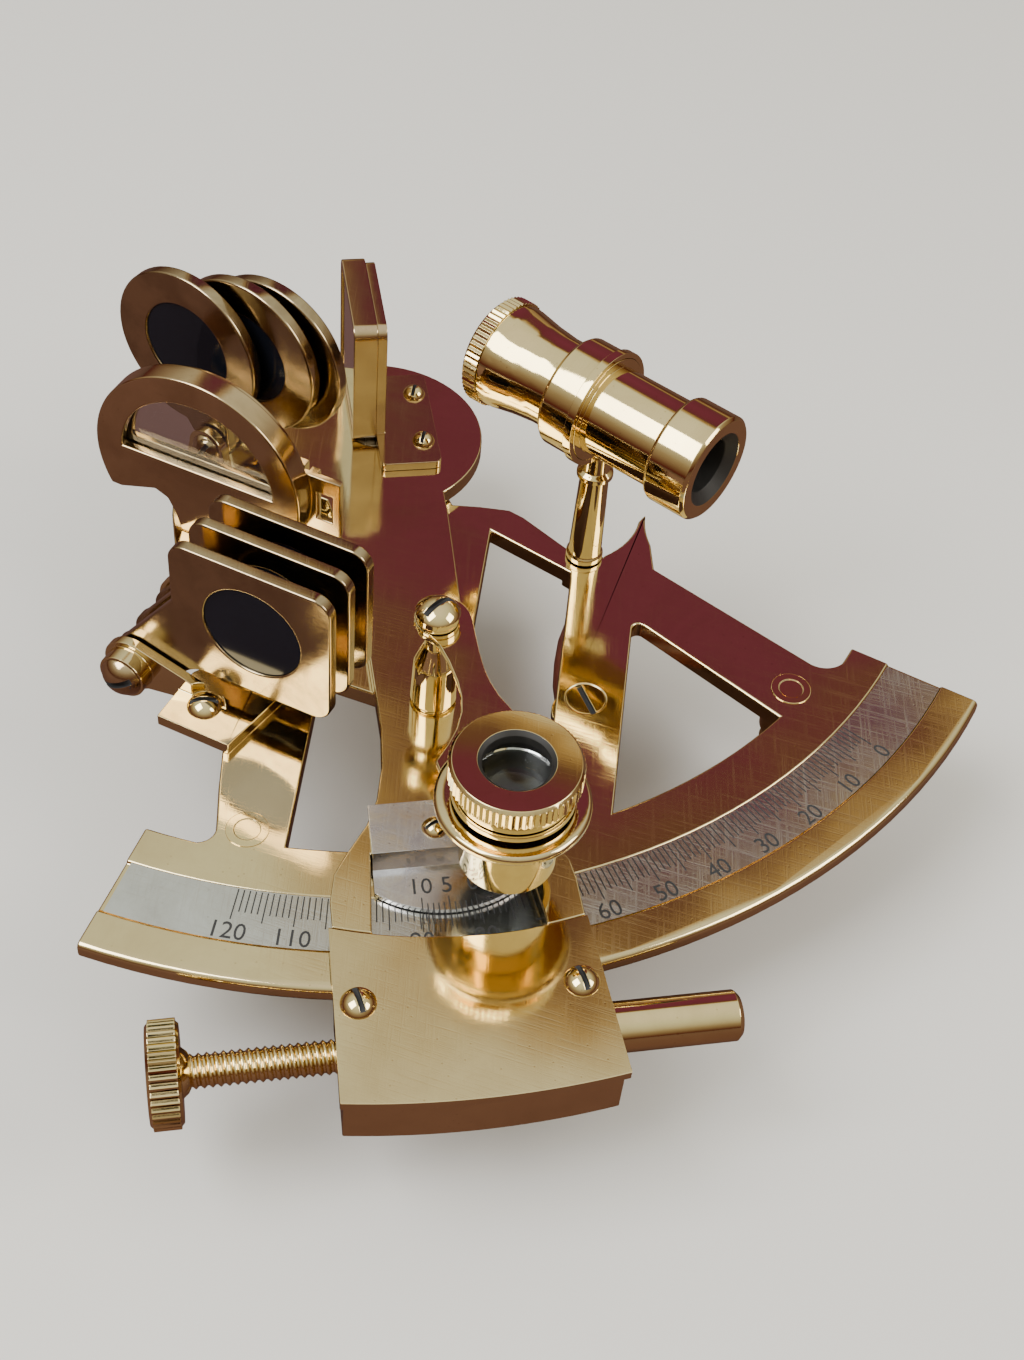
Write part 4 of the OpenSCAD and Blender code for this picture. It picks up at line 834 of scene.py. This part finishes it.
# A dark red drape beyond the table: heading from +Y, height and half sizes in degrees
drape = {
    "heading": 31.5, "height": 31, "halfWidth": 12.3, "halfHeight": 22.8,
    "ragged": 0.35, "foldScale": 7.0, "edge": 0.53, "gone": 0.64,
    "colours": [
        (0.0, (0.20, 0.045, 0.11)), (0.42, (0.17, 0.042, 0.085)), (0.49, (0.15, 0.08, 0.06)),
        (0.53, (0.52, 0.36, 0.16)), (1.0, (0.66, 0.54, 0.30)),
    ],
}


def makeWorld(values):  # soft light, dim and warm low down, with the drape in it
    world = bpy.data.worlds.new("studio")
    bpy.context.scene.world = world
    world.use_nodes = True
    tree = world.node_tree
    tree.nodes.clear()
    direction = addNode(tree, "ShaderNodeTexCoord").outputs["Generated"]
    split = addNode(tree, "ShaderNodeSeparateXYZ", {"Vector": direction})
    sky = colourRamp(tree, split.outputs["Z"], skyColours)
    ahead = addNode(tree, "ShaderNodeVectorRotate",
                    {"Vector": direction, "Angle": math.radians(values["heading"])},
                    rotation_type="Z_AXIS")
    level = addNode(tree, "ShaderNodeVectorRotate",
                    {"Vector": ahead.outputs["Vector"], "Angle": math.radians(-values["height"])},
                    rotation_type="X_AXIS")
    wide, high = [1 / math.sin(math.radians(values[key])) for key in ("halfWidth", "halfHeight")]
    across = addNode(tree, "ShaderNodeVectorMath",
                     {0: level.outputs["Vector"], 1: (wide, 0, high)}, operation="MULTIPLY")
    reach = addNode(tree, "ShaderNodeVectorMath",
                    {0: across.outputs["Vector"]}, operation="LENGTH")
    folds = addNode(tree, "ShaderNodeTexNoise",
                    {"Vector": direction, "Scale": values["foldScale"], "Detail": 3.0})
    ragged = addNode(tree, "ShaderNodeMath",
                     {0: folds.outputs["Fac"], 1: values["ragged"], 2: -values["ragged"] / 2},
                     operation="MULTIPLY_ADD")
    edge = addNode(tree, "ShaderNodeMath",
                   {0: reach.outputs["Value"], 1: ragged.outputs["Value"]}, operation="ADD")
    halved = addNode(tree, "ShaderNodeMath",
                     {0: edge.outputs["Value"], 1: 0.5}, operation="MULTIPLY").outputs["Value"]
    cloth = colourRamp(tree, halved, values["colours"])
    fade = addNode(tree, "ShaderNodeMapRange",
                   {"Value": halved, "From Min": values["edge"], "From Max": values["gone"]})
    hung = mixColours(tree, fade.outputs["Result"], cloth, sky)
    reflected = addNode(tree, "ShaderNodeBackground", {"Color": hung, "Strength": 1.0})
    seen = addNode(tree, "ShaderNodeBackground", {"Color": (*backdropColour, 1), "Strength": 1.0})
    ray = addNode(tree, "ShaderNodeLightPath")
    mixed = addNode(tree, "ShaderNodeMixShader", {"Fac": ray.outputs["Is Camera Ray"]})
    tree.links.new(reflected.outputs["Background"], mixed.inputs[1])
    tree.links.new(seen.outputs["Background"], mixed.inputs[2])
    addNode(tree, "ShaderNodeOutputWorld", {"Surface": mixed.outputs["Shader"]})


# Fitted to the marks of the scale in the photograph; its place is in metres, its lens in mm
photoCamera = {
    "place": (-0.08539, -0.23900, 0.24684),
    "right": (0.92769, -0.36678, 0.06974),
    "down": (-0.22778, -0.70402, -0.67266),
    "forward": (0.29581, 0.60813, -0.73666),
    "lens": 51.55, "sensor": 36, "nearest": 0.01, "farthest": 20,
}


def makeCamera(values):
    camera = bpy.data.objects.new("photo_camera", bpy.data.cameras.new("photo_camera"))
    bpy.context.scene.collection.objects.link(camera)
    axes = [Vector(values["right"]), -Vector(values["down"]), -Vector(values["forward"])]
    camera.matrix_world = move(*values["place"]) @ Matrix(axes).transposed().to_4x4()
    camera.data.lens, camera.data.sensor_width = values["lens"], values["sensor"]
    camera.data.sensor_fit = "AUTO"
    camera.data.clip_start, camera.data.clip_end = values["nearest"], values["farthest"]
    bpy.context.scene.camera = camera


makeFloor(paleFloor)
makeWorld(drape)
for name, values in lights.items():
    makeLight(name, values, lightAim)
makeCamera(photoCamera)
print("studio and camera are set")
